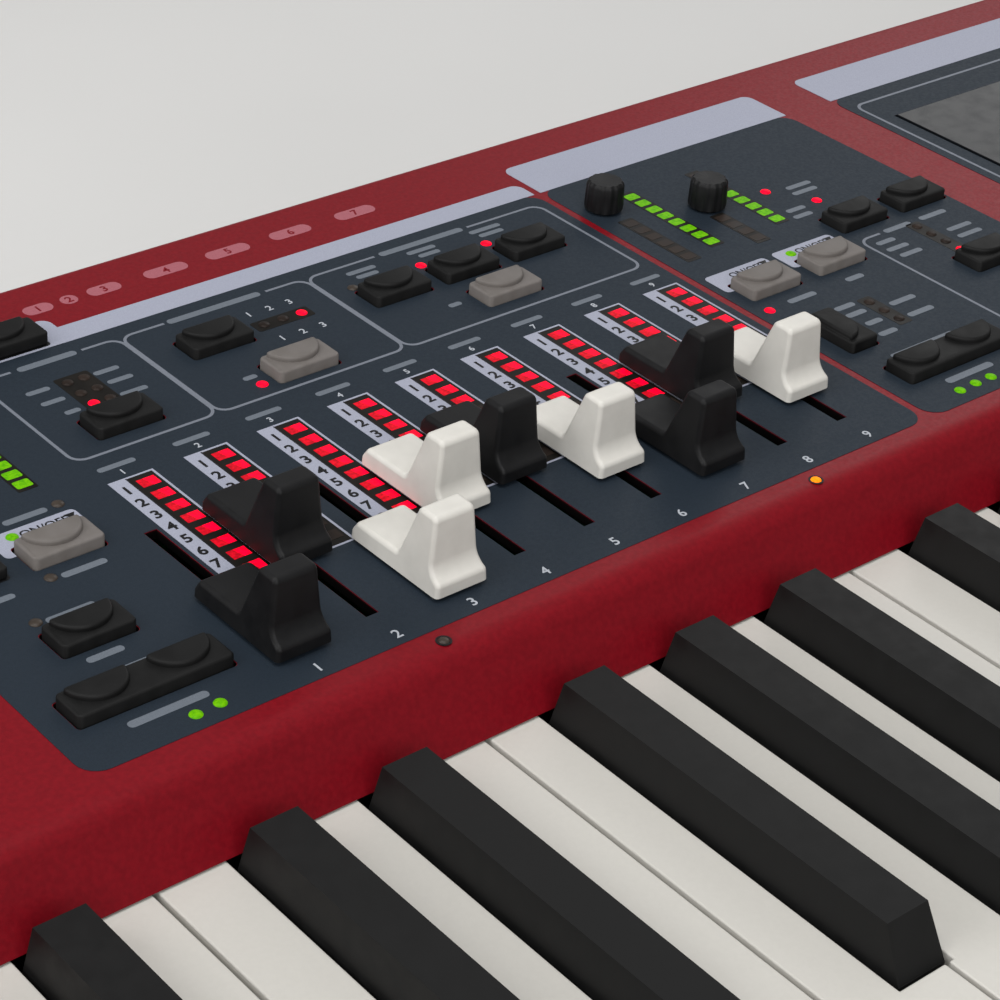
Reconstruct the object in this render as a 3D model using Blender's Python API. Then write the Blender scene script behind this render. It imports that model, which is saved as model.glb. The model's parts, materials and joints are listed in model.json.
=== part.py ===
"""A 73-key stage piano with nine organ drawbars, built from its separate pieces.

Metres, +Z up, +X to the player's right, the keys' fronts at -Y. The origin is on the floor
under the middle of the case.
"""

import math

import bmesh
import bpy
from mathutils import Vector

MM = 0.001

# Case: its sheets, its end cheeks, and the room behind the keyboard
REAR_BAY = 77.2 * MM
FOOT_HEIGHT = 8 * MM
CASE_HEIGHT = 93 * MM
END_BLOCK = 30.7 * MM
END_PLATE = 12 * MM
END_RISE = 2 * MM
END_STEP = 4 * MM
END_ROUND = 24 * MM
PAN_SHEET = 1.5 * MM
PAN_LIP_CLEAR = 10 * MM
PANEL_SHEET = 2 * MM
REAR_SHEET = 1.5 * MM
REAR_FLANGE = 12 * MM
REAR_BEND = 3 * MM
SEAT_GAP = 0.3 * MM
SLIDE_GAP = 0.35 * MM
CUT_PAST = 1 * MM
FOOT_RADIUS = 15 * MM
FOOT_TAPER = 2 * MM
FOOT_INSET_X = 60 * MM
FOOT_INSET_Y = 40 * MM

# Keyboard
OCTAVE = 165 * MM
FIRST_NOTE = 28
KEY_COUNT = 73
KEY_SEAM = 1 * MM
BLACK_GAP = 0.9 * MM
BLACK_TOP = 9.7 * MM
BLACK_BASE = 11.2 * MM
BLACK_RISE = 9 * MM
BLACK_LENGTH = 81 * MM
BLACK_FRONT_RUN = 5 * MM
BLACK_REAR_RUN = 3 * MM
BLACK_REAR_EDGE = (1 * MM, 1.6 * MM)
BLACK_SHOULDER = 1 * MM
WHITE_DROP = 16 * MM
WHITE_BODY = 14 * MM
WHITE_FACE = 20 * MM
WHITE_FACE_WALL = 5 * MM
WHITE_SHOWN = 137.5 * MM
WHITE_HEAD = 50 * MM
WHITE_EDGE = 1.5 * MM
KEY_DIP = 9.5 * MM
PIVOT_BACK = 211 * MM
PIVOT_UP = 3 * MM
KEY_TAIL = 8 * MM
RIDGE_WIDTH = 3 * MM
RIDGE_UP = 1.5 * MM
BAR_GAP = 0.5 * MM
COMB_RAIL_INSET = 1 * MM

# Key frame, stop felt and contacts
FRAME_SHEET = 2 * MM
FRAME_TOE = 10 * MM
FRAME_TAIL = 6 * MM
PIVOT_RAIL_FRONT = 10 * MM
PIVOT_RAIL_DROP = 1.5 * MM
STOP_FROM_FRONT = 20 * MM
STOP_WIDTH = 16 * MM
FELT_THICK = 4 * MM
CONTACT_FROM_FRONT = 100 * MM
CONTACT_WIDTH = 24 * MM
CONTACT_RIB = 6 * MM
CONTACT_RIB_HEIGHT = 14 * MM

# Front rail
RAIL_DEPTH = 22.5 * MM
RAIL_GAP = 1.5 * MM
RAIL_DROP = 6 * MM
RAIL_SHEET = 2 * MM
RAIL_ROUND = 6 * MM
RAIL_SKIRT = 50 * MM

# Red bar above the keys, the folded front of the top panel
BAR_ANGLE = math.radians(62)
BAR_ROUND = 6 * MM
BAR_LIP = 5 * MM
SLATE_BACK = 15 * MM

# Drawbars: pitch, travel and slots
DRAWBAR_COUNT = 9
DRAWBAR_PITCH = 17.5 * MM
DRAWBAR_TRAVEL = 40 * MM
DRAWBAR_FROM_C2 = 45.6 * MM
LADDER_FROM_SLOT = 2.3 * MM
LADDER_FROM_SLATE = 73.5 * MM
SLOT_WIDTH = 2.7 * MM
SLOT_REAR = 18.2 * MM
STEM_WIDTH = 2 * MM
STEM_LENGTH = 4.4 * MM
STEM_BACK = 4.6 * MM
STEM_DEPTH = 12.5 * MM
STEM_IN_CAP = 1 * MM
CAP_GAP = 1 * MM
CAP_BASE = 12.3 * MM
CAP_TOP = 9.3 * MM
CAP_HEIGHT = 16.3 * MM
CAP_LIP = 3.4 * MM
CAP_FLARE = 2.5 * MM
CAP_EDGE = 1 * MM
CAP_TOP_REAR = 7.6 * MM
CAP_TOP_EDGE = 0.8 * MM
CAP_FOOT_OF_TOP = 12.3 * MM
CAP_NOSE = 4.8 * MM
CAP_NOSE_DROP = 0.6 * MM
CAP_NOSE_END = 24 * MM
CAP_LENGTH = 25.9 * MM
CAP_TIP = 2 * MM
FLARE_STEPS = 4
# How far each drawbar is pulled out, from fully in, as it was left
DRAWBAR_PULLED = [39.3, 16.35, 40.0, 20.3, 16.7, 26.1, 36.8, 18.25, 26.1]
DRAWBAR_WHITE = (3, 4, 6, 9)

# Fader bank under the drawbars
FADER_DROP = 8 * MM
FADER_BODY = 8.1 * MM
FADER_WIDTH = 7 * MM
FADER_OVERRUN = 7 * MM
FADER_FLOOR = 3 * MM
FADER_INSET = 2 * MM
BOARD_SHEET = 1.6 * MM
SHANK_CLEAR = 1.8 * MM

# Buttons and knobs
BUTTON_WIDTH = 15.2 * MM
BUTTON_DEPTH = 8.2 * MM
BUTTON_RISE = 2.4 * MM
BUTTON_PAD_RISE = 1.1 * MM
BUTTON_PAD_INSET = 1.3 * MM
PAD_STEPS = 6
PAD_SUNK = 1.5 * MM
BUTTON_SUNK = 6 * MM
BUTTON_PRESS = 1 * MM
ROCKER_WIDTH = 31.8 * MM
ROCKER_TILT = math.radians(2.5)
SWITCH_GAP = 0.5 * MM
SWITCH_SIZE = 6 * MM
CONTROL_DROP = 13 * MM
MAT_SHEET = 1.2 * MM
MAT_HEM = 1 * MM
POST_SIZE = 3 * MM
POST_INSET = 2.1 * MM
KNOB_RADIUS = 4.8 * MM
KNOB_HEIGHT = 7 * MM
KNOB_GAP = 0.8 * MM
SHAFT_RADIUS = 3 * MM
DIAL_RADIUS = 14 * MM
DIAL_HEIGHT = 11 * MM
POT_SIZE = 10 * MM
POT_HEIGHT = 6.5 * MM
DISPLAY_SIZE = (92 * MM, 40 * MM)
DISPLAY_STAND = 0.6 * MM
BOARD_LEFT = 84 * MM
BOARD_RIGHT_INSET = 4 * MM
BOARD_FRONT_INSET = 2 * MM
BOARD_REAR = 48 * MM
BAY_CLEAR = 2 * MM

# Pitch stick and modulation wheel, left of the slate
STICK_PIVOT_DROP = 28 * MM
STICK_TILT = math.radians(20)
STICK_WIDTH = 8 * MM
STICK_DEPTH = 16 * MM
STICK_RISE = 16 * MM
STICK_ROUND = 3 * MM
STICK_PIN = 3 * MM
WHEEL_RADIUS = 23 * MM
WHEEL_WIDTH = 11 * MM
WHEEL_SHOWN = 10 * MM
WHEEL_PIN = 3 * MM
WHEEL_NOTCH = 3 * MM
WHEEL_NOTCH_TURN = math.radians(118)
LEVER_ROOM = 1 * MM
BOX_BEHIND_FRAME = 8.8 * MM
BOX_WALL = 3 * MM
BOX_MARGIN = 6 * MM
BOX_REAR_MARGIN = 4 * MM
BOX_LEFT_OF_STICK = 20 * MM
EAR_ABOVE_PIN = 9 * MM
STICK_FROM_END = 45 * MM
WHEEL_FROM_STICK = 44 * MM

# Rear panel, measured from the case's left end: inlet, switch, data sockets and jacks
SOCKET_RISE = 34 * MM
JACK_BORE = 3.5 * MM
JACK_BUSH = 5.5 * MM
JACK_BODY = 16 * MM
JACK_DEPTH = 28 * MM
JACK_END_WALL = 3 * MM
JACK_PITCH = 24 * MM
JACK_COUNT = 6
JACKS_FROM_END = 597.5 * MM
SOCKET_BOARD_PAST = 6 * MM
DIN_RADIUS = 7.6 * MM
DIN_WALL = 2 * MM
DIN_VIEW = 1.4 * MM
DIN_END_WALL = 6 * MM
DIN_PITCH = 24 * MM
DIN_COUNT = 2
DATA_FROM_END = 387.5 * MM
DATA_DEPTH = 16 * MM
USB_SIZE = (9 * MM, 8.4 * MM)
USB_WALL = 2.5 * MM
USB_VIEW = 1.5 * MM
USB_END_WALL = 4 * MM
USB_STEP = 22 * MM
INLET_FROM_END = 137.5 * MM
INLET_SIZE = (28 * MM, 20 * MM)
INLET_WALL = 1.75 * MM
INLET_DEPTH = 22 * MM
INLET_END_WALL = 4 * MM
INLET_EAR = 10 * MM
INLET_EAR_SHEET = 2 * MM
INLET_PROUD = 1 * MM
PIN_SIZE = (2 * MM, 4 * MM)
PIN_SPREAD = (7 * MM, 2 * MM)
PIN_FROM_MOUTH = 4 * MM
SWITCH_FROM_INLET = 50 * MM
SWITCH_HOLE = (22 * MM, 14 * MM)
SWITCH_TILT = math.radians(14)
SWITCH_PROUD = (1 * MM, 1.5 * MM)
SWITCH_BACK = (2 * MM, 5 * MM)

# Boards on posts on the pan
BOARD_DEPTH = 46 * MM
BOARD_BEHIND_FRAME = 6 * MM
BOARD_STAND = 7 * MM
STAND_SIZE = 6 * MM
STAND_INSET = 5 * MM
MAIN_BOARD_FROM_END = 457.5 * MM
MAIN_BOARD_WIDTH = 120 * MM
POWER_SUPPLY_FROM_END = 212.5 * MM
POWER_SUPPLY_WIDTH = 110 * MM
# Parts on a board: place from its middle, size in plan, and height
MAIN_BOARD_PARTS = (
    ((-30 * MM, -8 * MM), (34 * MM, 28 * MM), 3 * MM),
    ((22 * MM, 6 * MM), (22 * MM, 22 * MM), 3 * MM),
    ((48 * MM, -16 * MM), (12 * MM, 10 * MM), 8 * MM),
)
POWER_SUPPLY_PARTS = (
    ((-26 * MM, 0 * MM), (36 * MM, 38 * MM), 32 * MM),
    ((16 * MM, 12 * MM), (14 * MM, 14 * MM), 26 * MM),
    ((34 * MM, -12 * MM), (30 * MM, 8 * MM), 22 * MM),
)

# Panel layout: places right of and behind ladder 1's rear left corner
ORGAN_PLACES = {
    "aux_button": (-18.9 * MM, -13.2 * MM),
    "preset_button": (-29.1 * MM, -39.2 * MM),
    "model_button": (15.4 * MM, 18.7 * MM),
    "vibrato_type_button": (49 * MM, 34.6 * MM),
    "vibrato_on_button": (58.1 * MM, 17 * MM),
    "percussion_soft_button": (94.8 * MM, 31.7 * MM),
    "percussion_fast_button": (114.4 * MM, 31.7 * MM),
    "percussion_third_button": (134 * MM, 31.7 * MM),
    "percussion_on_button": (115.6 * MM, 18.5 * MM),
}
GREY_BUTTONS = ("aux_button", "vibrato_on_button", "percussion_on_button")
FRONT_ROW = -57.6 * MM
ROCKER_LEFT = 29.4 * MM
PIANO_PLACES = (
    (166.7 * MM, -11.9 * MM), (188.2 * MM, -11.7 * MM), (208.6 * MM, 0.3 * MM), (228.9 * MM, 0.3 * MM),
    (220.9 * MM, -30.8 * MM),
)
PIANO_ROCKER_PLACE = (176.9 * MM, FRONT_ROW)
PIANO_UPRIGHT_PLACE = (164.1 * MM, -37.6 * MM)
PIANO_KNOB_PLACES = ((161.3 * MM, 36.8 * MM), (183.2 * MM, 24.4 * MM))
MASTER_FROM_LADDER = (-74 * MM, 30 * MM)
# The sections right of the piano section share the rest of the slate
PIANO_RIGHT = 240 * MM
LAYOUT_RIGHT = 806 * MM
SLATE_FROM_END = 72.5 * MM
BUTTON_PITCH = 19 * MM
BUTTON_ROW = 26.8 * MM
PROGRAM_LEFT = 262 * MM
PROGRAM_COLUMNS = 8
PROGRAM_ROWS = 2
SYNTH_LEFT = 447 * MM
SYNTH_COLUMNS = 6
EFFECT_LEFT = 612 * MM
EFFECT_COLUMNS = 5
SYNTH_KNOB_LEFT = 462 * MM
SYNTH_KNOB_COLUMNS = 3
KNOB_PITCH = 42 * MM
KNOB_ROW = 40 * MM
KNOB_ROWS = 2
KNOB_FRONT_ROW = -24 * MM
DIAL_FROM_LADDER = (394 * MM, 14 * MM)
DISPLAY_FROM_LADDER = (308 * MM, 16 * MM)
POST_COLUMNS = (240 * MM, 425 * MM, 590 * MM)

# Worked out from the sizes above
KEY_NAMES = ("C", "Cs", "D", "Ds", "E", "F", "Fs", "G", "Gs", "A", "As", "B")
WHITE_CLASSES = (0, 2, 4, 5, 7, 9, 11)
WHITE_PITCH = OCTAVE / len(WHITE_CLASSES)
SEMITONE = OCTAVE / len(KEY_NAMES)
NOTES = range(FIRST_NOTE, FIRST_NOTE + KEY_COUNT)
WHITES = [note for note in NOTES if note % 12 in WHITE_CLASSES]
KEYS_WIDTH = len(WHITES) * WHITE_PITCH
FREE_KEYS = range(42, 50)
KEYS_DEPTH = PIVOT_BACK + KEY_TAIL + FRAME_TAIL
CASE_DEPTH = RAIL_DEPTH + RAIL_GAP + KEYS_DEPTH + REAR_BAY + REAR_SHEET + SEAT_GAP + PANEL_SHEET
FRONT = -CASE_DEPTH / 2
BACK = CASE_DEPTH / 2
CASE_HALF = KEYS_WIDTH / 2 + END_BLOCK
INNER_HALF = CASE_HALF - END_PLATE - SEAT_GAP
KEYS_HALF = KEYS_WIDTH / 2

PANEL_TOP = FOOT_HEIGHT + CASE_HEIGHT
PANEL_UNDER = PANEL_TOP - PANEL_SHEET
PAN_TOP = FOOT_HEIGHT + PAN_SHEET
WHITE_TOP = PANEL_TOP - WHITE_DROP
WHITE_UNDER = WHITE_TOP - WHITE_BODY
BLACK_TOP_Z = WHITE_TOP + BLACK_RISE
BAR_LOW = WHITE_TOP + BAR_GAP

KEY_FRONT = FRONT + RAIL_DEPTH + RAIL_GAP
BAR_FRONT = KEY_FRONT + WHITE_SHOWN
PIVOT_Y = KEY_FRONT + PIVOT_BACK
PIVOT_Z = WHITE_UNDER + PIVOT_UP
PRESS_ANGLE = math.asin(KEY_DIP / PIVOT_BACK)
KEY_REAR = PIVOT_Y + KEY_TAIL
FRAME_REAR = KEY_REAR + FRAME_TAIL
STOP_Y = KEY_FRONT + STOP_FROM_FRONT
CONTACT_Y = KEY_FRONT + CONTACT_FROM_FRONT

BAR_HEIGHT = PANEL_TOP - BAR_LOW
BAR_RUN = (BAR_HEIGHT - BAR_ROUND * (1 - math.cos(BAR_ANGLE))) / math.tan(BAR_ANGLE)
BAR_RUN += BAR_ROUND * math.sin(BAR_ANGLE)

FADER_TOP = PANEL_UNDER - FADER_DROP
FADER_BOARD_TOP = FADER_TOP - FADER_BODY
FADER_BOARD_UNDER = FADER_BOARD_TOP - BOARD_SHEET
SHANK_TOP = FADER_BOARD_UNDER - SHANK_CLEAR
CONTROL_TOP = PANEL_TOP - CONTROL_DROP + BOARD_SHEET
CONTROL_UNDER = CONTROL_TOP - BOARD_SHEET

SLATE_FRONT = BAR_FRONT + SLATE_BACK
LADDER_REAR = SLATE_FRONT + LADDER_FROM_SLATE
SLOT_LENGTH = DRAWBAR_TRAVEL + STEM_LENGTH + 2 * SLIDE_GAP
SLOT_BACK_Y = LADDER_REAR - SLOT_REAR
SLOT_FRONT_Y = SLOT_BACK_Y - SLOT_LENGTH
CAP_OUT_Y = SLOT_FRONT_Y + SLIDE_GAP - STEM_BACK
REAR_FACE = BACK - PANEL_SHEET - SEAT_GAP
REAR_INNER = REAR_FACE - REAR_SHEET
SOCKET_BACK = REAR_INNER - SEAT_GAP
SOCKET_Z = PAN_TOP + SOCKET_RISE


def seam_x(note):
    """The left edge of a white key."""
    return (WHITES.index(note)) * WHITE_PITCH - KEYS_HALF


def octave_x(note):
    """The left edge of the octave that holds a note, off the keyboard's end too."""
    whites_below = sum(1 for white in WHITE_CLASSES if white < WHITES[0] % 12)
    octaves = note // 12 - WHITES[0] // 12
    return octaves * OCTAVE - whites_below * WHITE_PITCH - KEYS_HALF


def black_x(note):
    """The middle of a black key, on the octave's twelve equal slots."""
    return octave_x(note) + (note % 12 + 0.5) * SEMITONE


SLOT_1_X = octave_x(36) + DRAWBAR_FROM_C2
LADDER_X = SLOT_1_X + LADDER_FROM_SLOT
SLATE_RIGHT = CASE_HALF - SLATE_FROM_END


def from_end(x):
    """A place along the rear panel, from the case's left end."""
    return x - CASE_HALF


def at(x, y):
    """A place on the panel, right of and behind ladder 1's rear left corner."""
    return LADDER_X + x, LADDER_REAR + y


def past_piano(x, y):
    """A place in the sections on the right, which a longer case spreads."""
    spread = (SLATE_RIGHT - LADDER_X - PIANO_RIGHT) / (LAYOUT_RIGHT - PIANO_RIGHT)
    return at(PIANO_RIGHT + (x - PIANO_RIGHT) * spread, y)


def grid(left, front_row, pitch, row_step, columns, rows):
    """Places of a block of buttons or knobs right of the piano section."""
    return [past_piano(left + pitch * column, front_row + row_step * row)
            for row in range(rows) for column in range(columns)]


ORGAN_BUTTONS = {name: at(*place) for name, place in ORGAN_PLACES.items()}
ORGAN_ROCKER = at(-ROCKER_LEFT, FRONT_ROW)
PIANO_BUTTONS = [at(*place) for place in PIANO_PLACES]
PIANO_ROCKER = at(*PIANO_ROCKER_PLACE)
PIANO_UPRIGHT = at(*PIANO_UPRIGHT_PLACE)
PIANO_KNOBS = [at(*place) for place in PIANO_KNOB_PLACES]
PROGRAM_BUTTONS = grid(PROGRAM_LEFT, FRONT_ROW, BUTTON_PITCH, BUTTON_ROW, PROGRAM_COLUMNS, PROGRAM_ROWS)
SYNTH_BUTTONS = grid(SYNTH_LEFT, FRONT_ROW, BUTTON_PITCH, BUTTON_ROW, SYNTH_COLUMNS, 1)
EFFECT_BUTTONS = grid(EFFECT_LEFT, FRONT_ROW, KNOB_PITCH, BUTTON_ROW, EFFECT_COLUMNS, 1)
SYNTH_KNOBS = grid(SYNTH_KNOB_LEFT, KNOB_FRONT_ROW, KNOB_PITCH, KNOB_ROW, SYNTH_KNOB_COLUMNS, KNOB_ROWS)
EFFECT_KNOBS = grid(EFFECT_LEFT, KNOB_FRONT_ROW, KNOB_PITCH, KNOB_ROW, EFFECT_COLUMNS, KNOB_ROWS)
DIAL_PLACE = past_piano(*DIAL_FROM_LADDER)
DISPLAY_PLACE = past_piano(*DISPLAY_FROM_LADDER)
MASTER_PLACE = at(*MASTER_FROM_LADDER)
WHEEL_CHORD = math.sqrt(WHEEL_RADIUS ** 2 - (WHEEL_RADIUS - WHEEL_SHOWN - PANEL_SHEET) ** 2)
LEVER_Y = FRAME_REAR + BOX_BEHIND_FRAME + BOX_MARGIN + WHEEL_CHORD
STICK_X = from_end(STICK_FROM_END)
WHEEL_X = STICK_X + WHEEL_FROM_STICK
JACK_X = from_end(JACKS_FROM_END)
DATA_X = from_end(DATA_FROM_END)
USB_X = DATA_X + DIN_PITCH * (DIN_COUNT - 1) + USB_STEP
INLET_X = from_end(INLET_FROM_END)
SWITCH_X = INLET_X + SWITCH_FROM_INLET

COLOURS = {
    "red_paint": ((0.19, 0.006, 0.012), 0.42, 0.1),
    "red_moulding": ((0.19, 0.006, 0.012), 0.45, 0.0),
    "black_steel": ((0.012, 0.012, 0.013), 0.5, 0.4),
    "zinc_steel": ((0.55, 0.56, 0.57), 0.35, 0.9),
    "white_key": ((0.62, 0.61, 0.57), 0.3, 0.0),
    "black_key": ((0.01, 0.01, 0.01), 0.45, 0.0),
    "white_cap": ((0.64, 0.62, 0.57), 0.4, 0.0),
    "black_cap": ((0.013, 0.013, 0.013), 0.4, 0.0),
    "black_rubber": ((0.015, 0.015, 0.015), 0.6, 0.0),
    "grey_rubber": ((0.16, 0.15, 0.15), 0.6, 0.0),
    "felt": ((0.2, 0.02, 0.02), 0.95, 0.0),
    "circuit_board": ((0.01, 0.09, 0.03), 0.5, 0.0),
    "black_plastic": ((0.014, 0.014, 0.014), 0.45, 0.0),
    "display_window": ((0.01, 0.012, 0.015), 0.1, 0.0),
}


def material(name):
    """A Principled material, made once for each name."""
    if name in bpy.data.materials:
        return bpy.data.materials[name]
    colour, roughness, metallic = COLOURS[name]
    made = bpy.data.materials.new(name)
    made.use_nodes = True
    shader = made.node_tree.nodes["Principled BSDF"]
    shader.inputs["Base Color"].default_value = (*colour, 1)
    shader.inputs["Roughness"].default_value = roughness
    shader.inputs["Metallic"].default_value = metallic
    return made


def prism(bm, outline, low, high, place):
    """Close an outline into a solid: place(point, depth) puts its corners from low to high."""
    near = [bm.verts.new(place(point, low)) for point in outline]
    far = [bm.verts.new(place(point, high)) for point in outline]
    faces = [bm.faces.new(near), bm.faces.new(far)]
    for index in range(len(outline)):
        after = (index + 1) % len(outline)
        faces.append(bm.faces.new((near[index], near[after], far[after], far[index])))
    bmesh.ops.recalc_face_normals(bm, faces=faces)


def plan(bm, outline, low, high):
    """An outline in plan, given its height."""
    prism(bm, outline, low, high, lambda point, z: (point[0], point[1], z))


def side(bm, outline, left, right):
    """An outline seen from the side, in Y and Z, run from left to right."""
    prism(bm, outline, left, right, lambda point, x: (x, point[0], point[1]))


def front(bm, outline, near, far):
    """An outline seen from the front, in X and Z, run from front to rear."""
    prism(bm, outline, near, far, lambda point, y: (point[0], y, point[1]))


def rectangle(x, y, width, depth):
    """A rectangle in plan round its middle."""
    return [(x - width / 2, y - depth / 2), (x + width / 2, y - depth / 2),
            (x + width / 2, y + depth / 2), (x - width / 2, y + depth / 2)]


def circle(x, y, radius, count=12):
    """A regular outline that encloses no more than its circle."""
    steps = [2 * math.pi * (step + 0.5) / count for step in range(count)]
    return [(x + radius * math.cos(turn), y + radius * math.sin(turn)) for turn in steps]


def block(bm, x, y, z):
    """A box between three pairs of limits."""
    plan(bm, [(x[0], y[0]), (x[1], y[0]), (x[1], y[1]), (x[0], y[1])], *z)


def arc(middle, radius, start, end, count):
    """Points of an arc, with angles in degrees."""
    steps = [math.radians(start + (end - start) * step / count) for step in range(count + 1)]
    return [(middle[0] + radius * math.cos(turn), middle[1] + radius * math.sin(turn)) for turn in steps]


def folded(path, thickness):
    """The closed outline of a sheet whose outer side follows path, thick towards its left."""
    path = [Vector(point) for point in path]
    inner = []
    for index, point in enumerate(path):
        normals = []
        for start, end in ((index - 1, index), (index, index + 1)):
            if 0 <= start and end < len(path):
                run = (path[end] - path[start]).normalized()
                normals.append(Vector((-run.y, run.x)))
        middle = sum(normals, Vector((0, 0))).normalized()
        inner.append(point + middle * thickness / middle.dot(normals[0]))
    return [tuple(point) for point in path + inner[::-1]]


def piece(name, bm, colour, pivot=(0, 0, 0), bevel=0.0):
    """Turn a mesh drawn in world places into a named object whose origin is its pivot."""
    mesh = bpy.data.meshes.new(name)
    bmesh.ops.translate(bm, verts=bm.verts, vec=-Vector(pivot))
    bm.to_mesh(mesh)
    bm.free()
    mesh.materials.append(material(colour))
    made = bpy.data.objects.new(name, mesh)
    made.location = pivot
    bpy.context.scene.collection.objects.link(made)
    if bevel:
        edge = made.modifiers.new("edge", "BEVEL")
        edge.width = bevel
        edge.segments = 1
        edge.limit_method = "ANGLE"
        edge.angle_limit = math.radians(50)
    return made


def tool(bm, owner, operation):
    """Cut from or join to a piece the solids of a second mesh, drawn in world places."""
    mesh = bpy.data.meshes.new(f"{owner.name}_{operation.lower()}")
    bm.to_mesh(mesh)
    bm.free()
    made = bpy.data.objects.new(mesh.name, mesh)
    made.hide_render = True
    made.display_type = "WIRE"
    bpy.context.scene.collection.objects.link(made)
    step = owner.modifiers.new(operation.lower(), "BOOLEAN")
    step.operation = operation
    step.solver = "EXACT"
    step.object = made
    return made


def smooth(made, angle=40):
    """Shade a round piece smooth up to an edge angle."""
    made.data.shade_smooth()
    made.data.set_sharp_from_angle(angle=math.radians(angle))


# Sheet metal and the end cheeks

def bar_path():
    """The outer side of the top panel, from the lip above the keys to the rear flange."""
    middle = (BAR_FRONT + BAR_RUN, PANEL_TOP - BAR_ROUND)
    turn = 90 + math.degrees(BAR_ANGLE)
    rear = arc((BACK - REAR_BEND, PANEL_TOP - REAR_BEND), REAR_BEND, 90, 0, 2)
    return [(BAR_FRONT + BAR_LIP, BAR_LOW), (BAR_FRONT, BAR_LOW), *arc(middle, BAR_ROUND, turn, 90, 4),
            *rear, (BACK, PANEL_TOP - REAR_FLANGE)]


def panel_holes():
    """Cutters for the slots, buttons, knobs, display, wheel and stick."""
    bm = bmesh.new()
    low = PANEL_UNDER - SEAT_GAP
    high = PANEL_TOP + SEAT_GAP
    for index in range(DRAWBAR_COUNT):
        x = SLOT_1_X + index * DRAWBAR_PITCH
        y = (SLOT_FRONT_Y + SLOT_BACK_Y) / 2
        plan(bm, rectangle(x, y, SLOT_WIDTH, SLOT_LENGTH), low, high)
    hole = (BUTTON_WIDTH + 2 * SLIDE_GAP, BUTTON_DEPTH + 2 * SLIDE_GAP)
    for x, y in [*ORGAN_BUTTONS.values(), *mat_keys()]:
        plan(bm, rectangle(x, y, *hole), low, high)
    plan(bm, rectangle(*ORGAN_ROCKER, ROCKER_WIDTH + 2 * SLIDE_GAP, hole[1]), low, high)
    for place, width, depth in other_mat_keys():
        plan(bm, rectangle(*place, width + 2 * SLIDE_GAP, depth + 2 * SLIDE_GAP), low, high)
    for x, y in [*turning_knobs(), *static_knobs()]:
        plan(bm, circle(x, y, SHAFT_RADIUS + SLIDE_GAP, 8), low, high)
    width, depth = DISPLAY_SIZE
    plan(bm, rectangle(*DISPLAY_PLACE, width + 2 * SEAT_GAP, depth + 2 * SEAT_GAP), low, high)
    swing = STICK_PIVOT_DROP * math.tan(STICK_TILT) + STICK_WIDTH
    plan(bm, rectangle(STICK_X, LEVER_Y, 2 * swing, STICK_DEPTH + 2 * LEVER_ROOM), low, high)
    chord = 2 * (WHEEL_CHORD + LEVER_ROOM)
    plan(bm, rectangle(WHEEL_X, LEVER_Y, WHEEL_WIDTH + 2 * LEVER_ROOM, chord), low, high)
    return bm


def mat_keys():
    """Places of the keys that are moulded on the rubber mat."""
    return [*PIANO_BUTTONS, *PROGRAM_BUTTONS, *SYNTH_BUTTONS, *EFFECT_BUTTONS]


def other_mat_keys():
    """The mat's wide key and its upright one: place, width and depth."""
    return [(PIANO_ROCKER, ROCKER_WIDTH, BUTTON_DEPTH), (PIANO_UPRIGHT, BUTTON_DEPTH, BUTTON_WIDTH)]


def turning_knobs():
    """Places of the knobs that turn on shafts of their own."""
    return [*PIANO_KNOBS, MASTER_PLACE, DIAL_PLACE]


def static_knobs():
    """Places of the knobs that stay with the control board."""
    return [*SYNTH_KNOBS, *EFFECT_KNOBS]


def build_top_panel():
    bm = bmesh.new()
    side(bm, folded(bar_path(), -PANEL_SHEET), -INNER_HALF, INNER_HALF)
    panel = piece("top_panel", bm, "red_paint")
    tool(panel_holes(), panel, "DIFFERENCE")


def build_cheek(name, hand):
    """An end cheek: an outer plate as deep as the case, and a block beside the keys."""
    block_top = PANEL_TOP - END_STEP
    plate_top = PANEL_TOP + END_RISE
    nose = arc((FRONT + END_ROUND, block_top - END_ROUND), END_ROUND, 180, 90, 5)
    tail = arc((BACK - END_ROUND / 2, plate_top - END_ROUND / 2), END_ROUND / 2, 90, 0, 4)
    ramp = BAR_FRONT - END_STEP
    outline = [(FRONT, FOOT_HEIGHT), *nose, (ramp, block_top), (ramp + 2 * END_STEP, plate_top), *tail,
               (BACK, FOOT_HEIGHT)]
    bm = bmesh.new()
    side(bm, outline, *sorted((hand * CASE_HALF, hand * (CASE_HALF - END_PLATE))))
    cheek = piece(name, bm, "red_moulding")
    bm = bmesh.new()
    block_rear = BAR_FRONT - SEAT_GAP
    floor = PAN_TOP + SEAT_GAP
    outline = [(FRONT, floor), *nose, (block_rear, block_top), (block_rear, floor)]
    inner = KEYS_HALF + KEY_SEAM
    side(bm, outline, *sorted((hand * inner, hand * (CASE_HALF - END_PLATE / 2))))
    tool(bm, cheek, "UNION")


def build_bottom_pan():
    """The floor of the case, turned up in front between the end blocks."""
    bm = bmesh.new()
    pan_front = KEY_FRONT - RAIL_GAP + SEAT_GAP
    block(bm, (-INNER_HALF, INNER_HALF), (pan_front, REAR_INNER - SEAT_GAP), (FOOT_HEIGHT, PAN_TOP))
    pan = piece("bottom_pan", bm, "black_steel")
    bm = bmesh.new()
    lip_top = WHITE_TOP - WHITE_FACE - KEY_DIP - PAN_LIP_CLEAR
    block(bm, (-KEYS_HALF, KEYS_HALF), (pan_front, pan_front + PAN_SHEET), (FOOT_HEIGHT, lip_top))
    tool(bm, pan, "UNION")


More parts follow.
